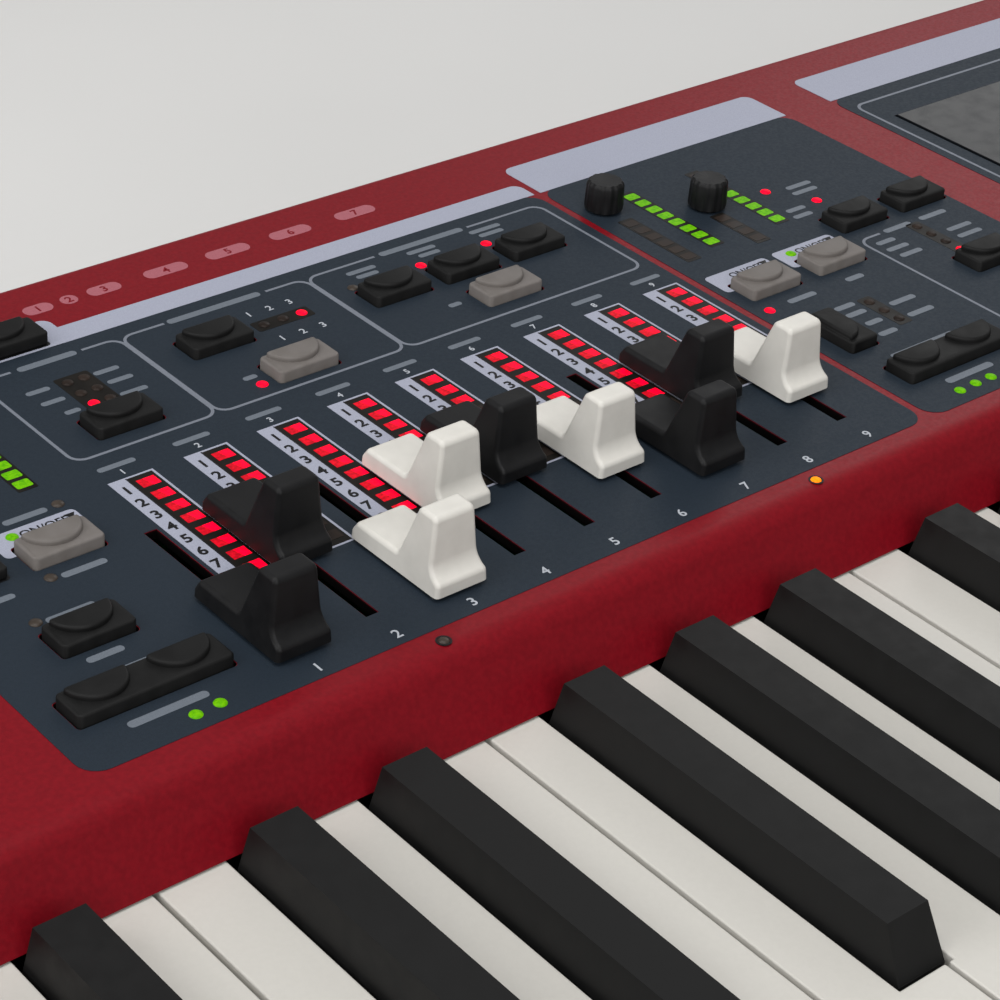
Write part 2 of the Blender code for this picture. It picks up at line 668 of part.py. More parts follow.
def build_front_rail():
    """The red slip in front of the keys, a folded sheet."""
    top = WHITE_TOP - RAIL_DROP
    rear = KEY_FRONT - RAIL_GAP
    round_middle = (FRONT + RAIL_ROUND, top - RAIL_ROUND)
    path = [(rear - RAIL_SHEET, FOOT_HEIGHT), (FRONT, FOOT_HEIGHT), *arc(round_middle, RAIL_ROUND, 180, 90, 4),
            (rear, top), (rear, top - RAIL_SKIRT)]
    bm = bmesh.new()
    side(bm, folded(path, -RAIL_SHEET), -KEYS_HALF, KEYS_HALF)
    piece("front_rail", bm, "red_paint")


def build_feet():
    for number, (right, rear) in enumerate(((-1, -1), (1, -1), (-1, 1), (1, 1)), 1):
        x = right * (CASE_HALF - FOOT_INSET_X)
        y = rear * (CASE_DEPTH / 2 - FOOT_INSET_Y)
        bm = bmesh.new()
        bmesh.ops.create_cone(bm, cap_ends=True, segments=16, radius1=FOOT_RADIUS - FOOT_TAPER,
                              radius2=FOOT_RADIUS, depth=FOOT_HEIGHT - SEAT_GAP)
        bmesh.ops.translate(bm, verts=bm.verts, vec=(x, y, (FOOT_HEIGHT - SEAT_GAP) / 2))
        smooth(piece(f"foot_{number}", bm, "black_rubber", pivot=(x, y, 0)))


# Keyboard

def white_profile():
    """A white key from its left: waterfall front, flat top, lower shank and pivot notch."""
    wall = KEY_FRONT + WHITE_FACE_WALL
    step = BAR_FRONT + BAR_LIP
    edge = arc((KEY_FRONT + WHITE_EDGE, WHITE_TOP - WHITE_EDGE), WHITE_EDGE, 180, 90, 2)
    return [(KEY_FRONT, WHITE_TOP - WHITE_FACE), *edge,
            (step, WHITE_TOP), (step, SHANK_TOP), *shank_tail(),
            (wall, WHITE_UNDER), (wall, WHITE_TOP - WHITE_FACE)]


def shank_tail():
    """The rear of every key, with the notch that sits on the pivot ridge."""
    notch = RIDGE_WIDTH / 2 + SLIDE_GAP
    notch_top = PIVOT_Z + RIDGE_UP + SLIDE_GAP
    return [(KEY_REAR, SHANK_TOP), (KEY_REAR, WHITE_UNDER), (PIVOT_Y + notch, WHITE_UNDER),
            (PIVOT_Y + notch, notch_top), (PIVOT_Y - notch, notch_top), (PIVOT_Y - notch, WHITE_UNDER)]


def black_front():
    return KEY_FRONT + WHITE_HEAD


def add_white(bm, note):
    left = seam_x(note)
    side(bm, white_profile(), left + KEY_SEAM / 2, left + WHITE_PITCH - KEY_SEAM / 2)


def add_notches(bm, notes):
    """Room beside the black keys, cut from the whites."""
    half = BLACK_BASE / 2 + BLACK_GAP
    for note in notes:
        x = black_x(note)
        block(bm, (x - half, x + half), (black_front() - BLACK_GAP, KEY_REAR + CUT_PAST),
              (WHITE_UNDER - CUT_PAST, WHITE_TOP + CUT_PAST))


def add_black(bm, note):
    """A black key: a straight body, and a cap that narrows to its flat top."""
    x = black_x(note)
    near = black_front()
    far = near + BLACK_LENGTH + BLACK_FRONT_RUN
    shoulder = WHITE_TOP - BLACK_SHOULDER
    cap = [(near, shoulder), (near + BLACK_FRONT_RUN, BLACK_TOP_Z), (far - BLACK_REAR_RUN, BLACK_TOP_Z),
           (far - BLACK_REAR_EDGE[0], BLACK_TOP_Z - BLACK_REAR_EDGE[1]), (far, shoulder)]
    body = [(near, shoulder), (far, shoulder), (far, SHANK_TOP), *shank_tail(), (near, WHITE_UNDER)]
    widths = {point: BLACK_BASE / 2 for point in body}
    for point in cap[1:-1]:
        share = (point[1] - shoulder) / (BLACK_TOP_Z - shoulder)
        widths[point] = (BLACK_BASE + (BLACK_TOP - BLACK_BASE) * share) / 2
    sides = [{point: bm.verts.new((x + hand * half, *point)) for point, half in widths.items()}
             for hand in (-1, 1)]
    faces = []
    for verts in sides:
        faces.append(bm.faces.new([verts[point] for point in cap]))
        faces.append(bm.faces.new([verts[point] for point in body]))
    rim = cap + body[2:]
    for index, point in enumerate(rim):
        after = rim[(index + 1) % len(rim)]
        faces.append(bm.faces.new((sides[0][point], sides[0][after], sides[1][after], sides[1][point])))
    bmesh.ops.recalc_face_normals(bm, faces=faces)


def black_neighbours(note):
    return [near for near in (note - 1, note + 1) if near % 12 not in WHITE_CLASSES and near in NOTES]


def build_key(note):
    pivot = (0, PIVOT_Y, PIVOT_Z)
    name = f"key_{KEY_NAMES[note % 12]}{note // 12 - 1}"
    bm = bmesh.new()
    if note % 12 in WHITE_CLASSES:
        add_white(bm, note)
        key = piece(name, bm, "white_key", pivot)
        bm = bmesh.new()
        add_notches(bm, black_neighbours(note))
        tool(bm, key, "DIFFERENCE")
    else:
        add_black(bm, note)
        piece(name, bm, "black_key", pivot)


def build_comb(name, notes):
    """Keys that are modelled together, joined behind the pivot."""
    whites = [note for note in notes if note % 12 in WHITE_CLASSES]
    blacks = [note for note in notes if note % 12 not in WHITE_CLASSES]
    bm = bmesh.new()
    for note in whites:
        add_white(bm, note)
    comb = piece(name, bm, "white_key", (0, PIVOT_Y, PIVOT_Z))
    bm = bmesh.new()
    beside = {near for note in whites for near in black_neighbours(note)}
    add_notches(bm, sorted(beside))
    tool(bm, comb, "DIFFERENCE")
    bm = bmesh.new()
    for note in blacks:
        add_black(bm, note)
    tool(bm, comb, "UNION").name = f"{name}_blacks"
    bm = bmesh.new()
    edges = [seam_x(note) + offset for note in whites for offset in (KEY_SEAM, WHITE_PITCH - KEY_SEAM)]
    edges += [black_x(note) + offset for note in blacks for offset in (-BLACK_TOP / 2, BLACK_TOP / 2)]
    outer = {near for note in (notes[0], notes[-1]) for near in black_neighbours(note) if near not in notes}
    left, right = min(edges), max(edges)
    for near in outer:
        gap = BLACK_BASE / 2 + BLACK_GAP
        left = max(left, black_x(near) + gap) if near < notes[0] else left
        right = min(right, black_x(near) - gap) if near > notes[-1] else right
    rail_rear = KEY_REAR - COMB_RAIL_INSET
    block(bm, (left, right), (PIVOT_Y + RIDGE_WIDTH, rail_rear),
          (WHITE_UNDER + COMB_RAIL_INSET, SHANK_TOP - COMB_RAIL_INSET))
    tool(bm, comb, "UNION").name = f"{name}_rail"


def dip_at(y):
    """How far a key's underside goes down at a distance in front of the pivot."""
    return (PIVOT_Y - y) * math.tan(PRESS_ANGLE)


def stop_top():
    return WHITE_UNDER - dip_at(STOP_Y - STOP_WIDTH / 2) - SEAT_GAP


def contact_top():
    return WHITE_UNDER - dip_at(CONTACT_Y - CONTACT_RIB / 2) - SEAT_GAP


def ridge_in(middle, width, base, top):
    """A folded sheet's path up, over and down again."""
    near, far = middle - width / 2, middle + width / 2
    return [(near, base), (near, top), (far, top), (far, base)]


def build_key_frame():
    """A folded chassis: a stop rail in front, a contact shelf, and the pivot rail with its ridge."""
    floor = PAN_TOP + SEAT_GAP
    shelf = contact_top() - CONTACT_RIB_HEIGHT - BOARD_SHEET - SEAT_GAP
    stop = stop_top() - FELT_THICK - SEAT_GAP
    rail = WHITE_UNDER - PIVOT_RAIL_DROP
    base = floor + FRAME_SHEET
    toe = (STOP_Y - STOP_WIDTH / 2 - FRAME_TOE, base)
    web = PIVOT_Y - PIVOT_RAIL_FRONT
    path = [toe, *ridge_in(STOP_Y, STOP_WIDTH, base, stop), *ridge_in(CONTACT_Y, CONTACT_WIDTH, base, shelf),
            (web, base), (web, rail), (FRAME_REAR, rail), (FRAME_REAR, floor)]
    bm = bmesh.new()
    side(bm, folded(path, -FRAME_SHEET), -KEYS_HALF, KEYS_HALF)
    frame = piece("key_frame", bm, "zinc_steel")
    bm = bmesh.new()
    block(bm, (-KEYS_HALF, KEYS_HALF), (PIVOT_Y - RIDGE_WIDTH / 2, PIVOT_Y + RIDGE_WIDTH / 2),
          (rail - FRAME_SHEET / 2, PIVOT_Z + RIDGE_UP))
    tool(bm, frame, "UNION")


def build_felt_and_contacts():
    stop = stop_top()
    bm = bmesh.new()
    depth = (STOP_Y - STOP_WIDTH / 2, STOP_Y + STOP_WIDTH / 2)
    block(bm, (-KEYS_HALF, KEYS_HALF), depth, (stop - FELT_THICK, stop))
    piece("key_felt", bm, "felt")
    top = contact_top()
    board = top - CONTACT_RIB_HEIGHT
    half = CONTACT_WIDTH / 2
    rib = CONTACT_RIB / 2
    bm = bmesh.new()
    side(bm, [(CONTACT_Y - half, board - BOARD_SHEET), (CONTACT_Y + half, board - BOARD_SHEET),
              (CONTACT_Y + half, board), (CONTACT_Y + rib, board), (CONTACT_Y + rib, top),
              (CONTACT_Y - rib, top), (CONTACT_Y - rib, board), (CONTACT_Y - half, board)],
         -KEYS_HALF, KEYS_HALF)
    piece("contact_strip", bm, "circuit_board")


# Drawbars

def cap_profile():
    """A drawbar cap from its left, from the base's front: lip, hollow flare, top, and flat nose."""
    top_edge = CAP_HEIGHT - CAP_EDGE
    flare = []
    for step in range(FLARE_STEPS + 1):
        turn = math.pi / 2 * step / FLARE_STEPS
        flare.append((CAP_FLARE * math.sin(turn), top_edge - (top_edge - CAP_LIP) * math.cos(turn)))
    return [(0, CAP_GAP), *flare, (CAP_FLARE + CAP_TOP_EDGE, CAP_HEIGHT), (CAP_TOP_REAR, CAP_HEIGHT),
            (CAP_TOP_REAR + CAP_TOP_EDGE, top_edge), (CAP_FOOT_OF_TOP, CAP_NOSE),
            (CAP_NOSE_END, CAP_NOSE - CAP_NOSE_DROP), (CAP_LENGTH, CAP_TIP), (CAP_LENGTH, CAP_GAP)]


def drawbar_y(index):
    """The base front's place in the photographed setting."""
    return CAP_OUT_Y + DRAWBAR_TRAVEL - DRAWBAR_PULLED[index] * MM


def build_drawbar(index):
    x = SLOT_1_X + index * DRAWBAR_PITCH
    y = drawbar_y(index)
    slope = (CAP_BASE - CAP_TOP) / 2 / (CAP_HEIGHT - CAP_GAP)
    outline = cap_profile()
    bm = bmesh.new()
    sides = []
    for hand in (-1, 1):
        row = []
        for back, up in outline:
            half = CAP_BASE / 2 - slope * (up - CAP_GAP)
            row.append(bm.verts.new((x + hand * half, y + back, PANEL_TOP + up)))
        sides.append(row)
    faces = [bm.faces.new(row) for row in sides]
    for spot in range(len(outline)):
        after = (spot + 1) % len(outline)
        faces.append(bm.faces.new((sides[0][spot], sides[0][after], sides[1][after], sides[1][spot])))
    bmesh.ops.recalc_face_normals(bm, faces=faces)
    colour = "white_cap" if index + 1 in DRAWBAR_WHITE else "black_cap"
    cap = piece(f"drawbar_{index + 1}", bm, colour, (x, y, PANEL_TOP))
    bm = bmesh.new()
    stem = y + STEM_BACK
    block(bm, (x - STEM_WIDTH / 2, x + STEM_WIDTH / 2), (stem, stem + STEM_LENGTH),
          (PANEL_TOP - STEM_DEPTH, PANEL_TOP + CAP_GAP + STEM_IN_CAP))
    tool(bm, cap, "UNION")


def build_fader_bank():
    """Nine slide potentiometers on one board, hung from the panel by four posts."""
    mid = SLOT_1_X + (DRAWBAR_COUNT - 1) * DRAWBAR_PITCH / 2
    bank_half = DRAWBAR_COUNT * DRAWBAR_PITCH / 2
    near = SLOT_FRONT_Y - FADER_OVERRUN
    far = SLOT_BACK_Y + FADER_OVERRUN
    bm = bmesh.new()
    block(bm, (mid - bank_half, mid + bank_half), (near, far), (FADER_BOARD_UNDER, FADER_BOARD_TOP))
    bank = piece("fader_bank", bm, "circuit_board")
    bodies = bmesh.new()
    grooves = bmesh.new()
    for index in range(DRAWBAR_COUNT):
        x = SLOT_1_X + index * DRAWBAR_PITCH
        block(bodies, (x - FADER_WIDTH / 2, x + FADER_WIDTH / 2), (near + FADER_INSET, far - FADER_INSET),
              (FADER_BOARD_TOP - BOARD_SHEET / 2, FADER_TOP))
        block(grooves, (x - SLOT_WIDTH / 2, x + SLOT_WIDTH / 2), (SLOT_FRONT_Y, SLOT_BACK_Y),
              (PANEL_TOP - STEM_DEPTH - FADER_FLOOR, FADER_TOP + CUT_PAST))
    for x in (mid - bank_half, mid + bank_half - POST_SIZE):
        for y in (near, far - POST_SIZE):
            block(bodies, (x, x + POST_SIZE), (y, y + POST_SIZE),
                  (FADER_BOARD_TOP - BOARD_SHEET / 2, PANEL_UNDER - SEAT_GAP))
    tool(bodies, bank, "UNION")
    tool(grooves, bank, "DIFFERENCE")


# Buttons, knobs and the board under the panel

def add_button(bm, x, y, low, width=BUTTON_WIDTH, depth=BUTTON_DEPTH):
    """A block with a square top, from low to its rim above the panel."""
    plan(bm, rectangle(x, y, width, depth), low, PANEL_TOP + BUTTON_RISE)


def add_pad(bm, x, y):
    """The raised thumb pad on a button: straight behind, an arc in front."""
    half = BUTTON_WIDTH / 2 - BUTTON_PAD_INSET
    rear = BUTTON_DEPTH / 2 - BUTTON_PAD_INSET / 2
    reach = BUTTON_DEPTH - 2 * BUTTON_PAD_INSET
    curve = [math.pi + math.pi * step / PAD_STEPS for step in range(PAD_STEPS + 1)]
    outline = [(x + half * math.cos(turn), y + rear + reach * math.sin(turn)) for turn in curve]
    rim = PANEL_TOP + BUTTON_RISE
    plan(bm, outline, rim - PAD_SUNK, rim + BUTTON_PAD_RISE)


def build_organ_buttons():
    low = PANEL_TOP - BUTTON_SUNK
    for name, (x, y) in ORGAN_BUTTONS.items():
        bm = bmesh.new()
        add_button(bm, x, y, low)
        colour = "grey_rubber" if name in GREY_BUTTONS else "black_rubber"
        button = piece(name, bm, colour, (x, y, PANEL_TOP))
        bm = bmesh.new()
        add_pad(bm, x, y)
        tool(bm, button, "UNION")
    x, y = ORGAN_ROCKER
    bm = bmesh.new()
    add_button(bm, x, y, low, ROCKER_WIDTH)
    rocker = piece("octave_rocker", bm, "black_rubber", (x, y, rocker_pivot()))
    bm = bmesh.new()
    for hand in (-1, 1):
        add_pad(bm, x + hand * (ROCKER_WIDTH - BUTTON_WIDTH) / 2, y)
    tool(bm, rocker, "UNION")


def rocker_pivot():
    """Half way through the panel, so that both ends stay in their hole as it tilts."""
    return PANEL_TOP - PANEL_SHEET / 2


def switch_top(travel):
    """The top of a switch under a button that goes down by its travel."""
    return PANEL_TOP - BUTTON_SUNK - travel - SWITCH_GAP


def board_outline():
    """The control board in plan, with a bay in its front for the fader bank."""
    left = LADDER_X - BOARD_LEFT
    right = SLATE_RIGHT - BOARD_RIGHT_INSET
    near = SLATE_FRONT + BOARD_FRONT_INSET
    far = LADDER_REAR + BOARD_REAR
    bay_left = SLOT_1_X - DRAWBAR_PITCH / 2 - BAY_CLEAR
    bay_right = bay_left + DRAWBAR_COUNT * DRAWBAR_PITCH + 2 * BAY_CLEAR
    bay_rear = SLOT_BACK_Y + FADER_OVERRUN + BAY_CLEAR
    return [(left, near), (bay_left, near), (bay_left, bay_rear), (bay_right, bay_rear), (bay_right, near),
            (right, near), (right, far), (left, far)]


def post_places():
    """Posts between the control board and the panel, along the board's front and rear."""
    (left, near), (right, far) = board_outline()[0], board_outline()[6]
    columns = [left + POST_SIZE, *(past_piano(x, 0)[0] for x in POST_COLUMNS), right - POST_SIZE]
    return [(x, y) for x in columns for y in (near + POST_INSET, far - POST_INSET)]


def build_control_board():
    bm = bmesh.new()
    plan(bm, board_outline(), CONTROL_UNDER, CONTROL_TOP)
    board = piece("control_board", bm, "circuit_board")
    parts = bmesh.new()
    sunk = CONTROL_TOP - BOARD_SHEET / 2
    for x, y in ORGAN_BUTTONS.values():
        plan(parts, rectangle(x, y, SWITCH_SIZE, SWITCH_SIZE), sunk, switch_top(BUTTON_PRESS))
    rocker_travel = ROCKER_WIDTH / 2 * math.sin(ROCKER_TILT)
    for hand in (-1, 1):
        x = ORGAN_ROCKER[0] + hand * (ROCKER_WIDTH - BUTTON_WIDTH) / 2
        plan(parts, rectangle(x, ORGAN_ROCKER[1], SWITCH_SIZE, SWITCH_SIZE), sunk, switch_top(rocker_travel))
    for x, y in [*turning_knobs(), *static_knobs()]:
        plan(parts, rectangle(x, y, POT_SIZE, POT_SIZE), sunk, CONTROL_TOP + POT_HEIGHT)
    for x, y in post_places():
        plan(parts, rectangle(x, y, POST_SIZE, POST_SIZE), sunk, PANEL_UNDER - SEAT_GAP)
    tool(parts, board, "UNION")
    shafts = bmesh.new()
    caps = bmesh.new()
    for x, y in static_knobs():
        plan(shafts, circle(x, y, SHAFT_RADIUS, 8), CONTROL_TOP + POT_HEIGHT / 2, PANEL_TOP + KNOB_HEIGHT / 2)
        plan(caps, circle(x, y, KNOB_RADIUS), PANEL_TOP + KNOB_GAP, PANEL_TOP + KNOB_GAP + KNOB_HEIGHT)
    tool(shafts, board, "UNION").name = "control_board_shafts"
    tool(caps, board, "UNION").name = "control_board_knobs"


def build_knob(name, place, radius, height):
    """A knob on its own shaft, which turns just above its encoder."""
    x, y = place
    low = CONTROL_TOP + POT_HEIGHT + SEAT_GAP
    bm = bmesh.new()
    plan(bm, circle(x, y, radius, 16), PANEL_TOP + KNOB_GAP, PANEL_TOP + KNOB_GAP + height)
    knob = piece(name, bm, "black_plastic", (x, y, PANEL_TOP))
    bm = bmesh.new()
    plan(bm, circle(x, y, SHAFT_RADIUS, 8), low, PANEL_TOP + height / 2)
    tool(bm, knob, "UNION")
    smooth(knob)


def mat_edges(places):
    """The limits in plan of a strip of mat under some keys."""
    xs, ys = zip(*places)
    wide = BUTTON_WIDTH / 2 + MAT_HEM
    deep = BUTTON_DEPTH / 2 + MAT_HEM
    return min(xs) - wide, max(xs) + wide, min(ys) - deep, max(ys) + deep


def build_keypad_mat():
    """A moulded rubber mat that lies on the control board, with its keys standing through the panel."""
    low = CONTROL_TOP + SEAT_GAP
    left, right, near, _ = mat_edges(mat_keys())
    strip_rear = mat_edges(EFFECT_BUTTONS)[3]
    _, piano_right, _, piano_rear = mat_edges(PIANO_BUTTONS)
    program_left, program_right, _, program_rear = mat_edges(PROGRAM_BUTTONS)
    outline = [(left, near), (right, near), (right, strip_rear), (program_right, strip_rear),
               (program_right, program_rear), (program_left, program_rear), (program_left, strip_rear),
               (piano_right, strip_rear), (piano_right, piano_rear), (left, piano_rear)]
    bm = bmesh.new()
    plan(bm, outline, low, low + MAT_SHEET)
    mat = piece("keypad_mat", bm, "black_rubber")
    keys = bmesh.new()
    pads = bmesh.new()
    for x, y in mat_keys():
        add_button(keys, x, y, low + MAT_SHEET / 2)
        add_pad(pads, x, y)
    for (x, y), width, depth in other_mat_keys():
        add_button(keys, x, y, low + MAT_SHEET / 2, width, depth)
    for hand in (-1, 1):
        add_pad(pads, PIANO_ROCKER[0] + hand * (ROCKER_WIDTH - BUTTON_WIDTH) / 2, PIANO_ROCKER[1])
    tool(keys, mat, "UNION").name = "keypad_mat_keys"
    tool(pads, mat, "UNION").name = "keypad_mat_pads"


def build_display():
    """The display module, whose window stands in its hole in the panel."""
    bm = bmesh.new()
    plan(bm, rectangle(*DISPLAY_PLACE, *DISPLAY_SIZE), CONTROL_TOP + SEAT_GAP, PANEL_TOP + DISPLAY_STAND)
    piece("program_display", bm, "display_window")


# Pitch stick and modulation wheel

def wheel_z():
    return PANEL_TOP + WHEEL_SHOWN - WHEEL_RADIUS


def stick_z():
    return PANEL_TOP - STICK_PIVOT_DROP


def build_wheel_box():
    """A bracket under the panel: its cheeks and ears carry the wheel's and the stick's pins."""
    left = STICK_X - BOX_LEFT_OF_STICK
    right = WHEEL_X + WHEEL_WIDTH / 2 + BOX_MARGIN
    near = LEVER_Y - WHEEL_CHORD - BOX_MARGIN
    far = LEVER_Y + WHEEL_CHORD + BOX_REAR_MARGIN
    floor = PAN_TOP + SEAT_GAP
    top = PANEL_UNDER - SEAT_GAP
    bm = bmesh.new()
    block(bm, (left, right), (near, far), (floor, floor + BOX_WALL))
    box = piece("wheel_box", bm, "black_plastic")
    wheel_side = WHEEL_WIDTH / 2 + SEAT_GAP
    walls = bmesh.new()
    for x in (WHEEL_X - wheel_side - BOX_WALL, WHEEL_X + wheel_side):
        block(walls, (x, x + BOX_WALL), (near, far), (floor + BOX_WALL / 2, top))
    tool(walls, box, "UNION").name = "wheel_box_walls"
    stick_side = STICK_DEPTH / 2 + SEAT_GAP
    ears = bmesh.new()
    for y in (LEVER_Y - stick_side - BOX_WALL, LEVER_Y + stick_side):
        block(ears, (left, WHEEL_X - wheel_side - BOX_WALL / 2), (y, y + BOX_WALL),
              (floor + BOX_WALL / 2, stick_z() + EAR_ABOVE_PIN))
    tool(ears, box, "UNION").name = "wheel_box_ears"
    bores = bmesh.new()
    across = wheel_side + BOX_WALL + CUT_PAST
    deep = stick_side + BOX_WALL + CUT_PAST
    side(bores, circle(LEVER_Y, wheel_z(), WHEEL_PIN + SEAT_GAP), WHEEL_X - across, WHEEL_X + across)
    front(bores, circle(STICK_X, stick_z(), STICK_PIN + SEAT_GAP), LEVER_Y - deep, LEVER_Y + deep)
    tool(bores, box, "DIFFERENCE")


def build_wheel():
    bm = bmesh.new()
    half = WHEEL_WIDTH / 2
    side(bm, circle(LEVER_Y, wheel_z(), WHEEL_RADIUS, 32), WHEEL_X - half, WHEEL_X + half)
    wheel = piece("mod_wheel", bm, "black_plastic", (WHEEL_X, LEVER_Y, wheel_z()))
    pin = bmesh.new()
    reach = half + SEAT_GAP + BOX_WALL
    side(pin, circle(LEVER_Y, wheel_z(), WHEEL_PIN), WHEEL_X - reach, WHEEL_X + reach)
    tool(pin, wheel, "UNION")
    notch = bmesh.new()
    spot = (LEVER_Y + WHEEL_RADIUS * math.cos(WHEEL_NOTCH_TURN),
            wheel_z() + WHEEL_RADIUS * math.sin(WHEEL_NOTCH_TURN))
    side(notch, circle(*spot, WHEEL_NOTCH), WHEEL_X - half - CUT_PAST, WHEEL_X + half + CUT_PAST)
    tool(notch, wheel, "DIFFERENCE")
    smooth(wheel)


def build_stick():
    """A sprung paddle that leans left and right on a pin below the panel."""
    bm = bmesh.new()
    low = stick_z() - 2 * STICK_PIN
    crown = (STICK_X, PANEL_TOP + STICK_RISE - STICK_ROUND)
    outline = [(STICK_X - STICK_WIDTH / 2, low), (STICK_X + STICK_WIDTH / 2, low),
               (STICK_X + STICK_WIDTH / 2, PANEL_TOP), *arc(crown, STICK_ROUND, 0, 180, 6),
               (STICK_X - STICK_WIDTH / 2, PANEL_TOP)]
    front(bm, outline, LEVER_Y - STICK_DEPTH / 2, LEVER_Y + STICK_DEPTH / 2)
    stick = piece("pitch_stick", bm, "black_plastic", (STICK_X, LEVER_Y, stick_z()))
    pin = bmesh.new()
    reach = STICK_DEPTH / 2 + SEAT_GAP + BOX_WALL
    front(pin, circle(STICK_X, stick_z(), STICK_PIN), LEVER_Y - reach, LEVER_Y + reach)
    tool(pin, stick, "UNION")


# Rear panel, sockets and electronics

def jack_places():
    return [JACK_X + JACK_PITCH * index for index in range(JACK_COUNT)]


def din_places():
    return [DATA_X + DIN_PITCH * index for index in range(DIN_COUNT)]


def build_rear_panel():
    bm = bmesh.new()
    top = PANEL_TOP - REAR_BEND - SEAT_GAP
    block(bm, (-INNER_HALF, INNER_HALF), (REAR_INNER, REAR_FACE), (FOOT_HEIGHT, top))
    panel = piece("rear_panel", bm, "black_steel")
    holes = bmesh.new()
    limits = (REAR_INNER - CUT_PAST, REAR_FACE + CUT_PAST)
    for x in jack_places():
        front(holes, circle(x, SOCKET_Z, JACK_BUSH + SEAT_GAP), *limits)
    for x in din_places():
        front(holes, circle(x, SOCKET_Z, DIN_RADIUS + DIN_VIEW), *limits)
    usb = [size + 2 * USB_VIEW for size in USB_SIZE]
    inlet = [size + 2 * SEAT_GAP for size in INLET_SIZE]
    for x, size in ((USB_X, usb), (INLET_X, inlet), (SWITCH_X, SWITCH_HOLE)):
        front(holes, rectangle(x, SOCKET_Z, *size), *limits)
    tool(holes, panel, "DIFFERENCE")


def socket_board(bm, left, right, depth):
    """The board that a row of sockets stands on, held by the rear panel's inner side."""
    low = SOCKET_Z - JACK_BODY / 2 - BOARD_SHEET
    block(bm, (left, right), (SOCKET_BACK - depth, SOCKET_BACK), (low, low + BOARD_SHEET))


def build_audio_jacks():
    """Six jack sockets on one board, with threaded bushes through the rear panel."""
    places = jack_places()
    bm = bmesh.new()
    socket_board(bm, places[0] - JACK_PITCH / 2, places[-1] + JACK_PITCH / 2, JACK_DEPTH + SOCKET_BOARD_PAST)
    jacks = piece("audio_jacks", bm, "black_plastic")
    bodies = bmesh.new()
    bushes = bmesh.new()
    bores = bmesh.new()
    for x in places:
        front(bodies, rectangle(x, SOCKET_Z - BOARD_SHEET / 4, JACK_BODY, JACK_BODY + BOARD_SHEET / 2),
              SOCKET_BACK - JACK_DEPTH, SOCKET_BACK)
        front(bushes, circle(x, SOCKET_Z, JACK_BUSH), SOCKET_BACK - JACK_END_WALL, BACK - SEAT_GAP)
        front(bores, circle(x, SOCKET_Z, JACK_BORE), SOCKET_BACK - JACK_DEPTH + JACK_END_WALL, BACK + CUT_PAST)
    tool(bodies, jacks, "UNION").name = "audio_jacks_bodies"
    tool(bushes, jacks, "UNION").name = "audio_jacks_bushes"
    tool(bores, jacks, "DIFFERENCE")


def build_data_sockets():
    """Two round five-pin sockets and a square one on a board."""
    bm = bmesh.new()
    socket_board(bm, DATA_X - DIN_PITCH / 2, USB_X + DIN_PITCH / 2, DATA_DEPTH + SOCKET_BOARD_PAST)
    data = piece("data_sockets", bm, "black_plastic")
    bodies = bmesh.new()
    recesses = bmesh.new()
    body = (DIN_RADIUS + DIN_WALL) * 2
    inner_end = SOCKET_BACK - DATA_DEPTH
    for x in din_places():
        front(bodies, rectangle(x, SOCKET_Z, body, body), inner_end, SOCKET_BACK)
        front(recesses, circle(x, SOCKET_Z, DIN_RADIUS), inner_end + DIN_END_WALL, SOCKET_BACK + CUT_PAST)
    front(bodies, rectangle(USB_X, SOCKET_Z, USB_SIZE[0] + 2 * USB_WALL, body), inner_end, SOCKET_BACK)
    front(recesses, rectangle(USB_X, SOCKET_Z, *USB_SIZE), inner_end + USB_END_WALL, SOCKET_BACK + CUT_PAST)
    tool(bodies, data, "UNION").name = "data_sockets_bodies"
    tool(recesses, data, "DIFFERENCE")


def build_mains_inlet():
    """A recessed inlet with three pins, screwed by its ears behind the rear panel."""
    width, height = INLET_SIZE
    inner_end = SOCKET_BACK - INLET_DEPTH
    mouth = REAR_FACE + INLET_PROUD
    bm = bmesh.new()
    front(bm, rectangle(INLET_X, SOCKET_Z, width, height), inner_end, mouth)
    inlet = piece("mains_inlet", bm, "black_plastic")
    ears = bmesh.new()
    front(ears, rectangle(INLET_X, SOCKET_Z, width + 2 * INLET_EAR, height), SOCKET_BACK - INLET_EAR_SHEET,
          SOCKET_BACK)
    tool(ears, inlet, "UNION").name = "mains_inlet_ears"
    recess = bmesh.new()
    front(recess, rectangle(INLET_X, SOCKET_Z, width - 2 * INLET_WALL, height - 2 * INLET_WALL),
          inner_end + INLET_END_WALL, mouth + CUT_PAST)
    tool(recess, inlet, "DIFFERENCE")
    pins = bmesh.new()
    across, up = PIN_SPREAD
    for x, z in ((-across, -up), (0, up), (across, -up)):
        front(pins, rectangle(INLET_X + x, SOCKET_Z + z, *PIN_SIZE), inner_end + INLET_END_WALL / 2,
              REAR_FACE - PIN_FROM_MOUTH)
    tool(pins, inlet, "UNION").name = "mains_inlet_pins"


def build_power_switch():
    """A rocker that tips in its hole, with one half pressed in."""
    width, height = SWITCH_HOLE
    half = width / 2 - 2 * SLIDE_GAP
    lift = half * math.tan(SWITCH_TILT / 2)
    edge, crest = (REAR_INNER + proud for proud in SWITCH_PROUD)
    heel, keel = (REAR_INNER - back for back in SWITCH_BACK)
    outline = [(SWITCH_X - half, edge + lift), (SWITCH_X - half, heel), (SWITCH_X, keel),
               (SWITCH_X + half, heel), (SWITCH_X + half, edge - lift), (SWITCH_X, crest)]
    bm = bmesh.new()
    plan(bm, outline, SOCKET_Z - height / 2 + SLIDE_GAP, SOCKET_Z + height / 2 - SLIDE_GAP)
    piece("power_switch", bm, "black_plastic", (SWITCH_X, REAR_INNER, SOCKET_Z))


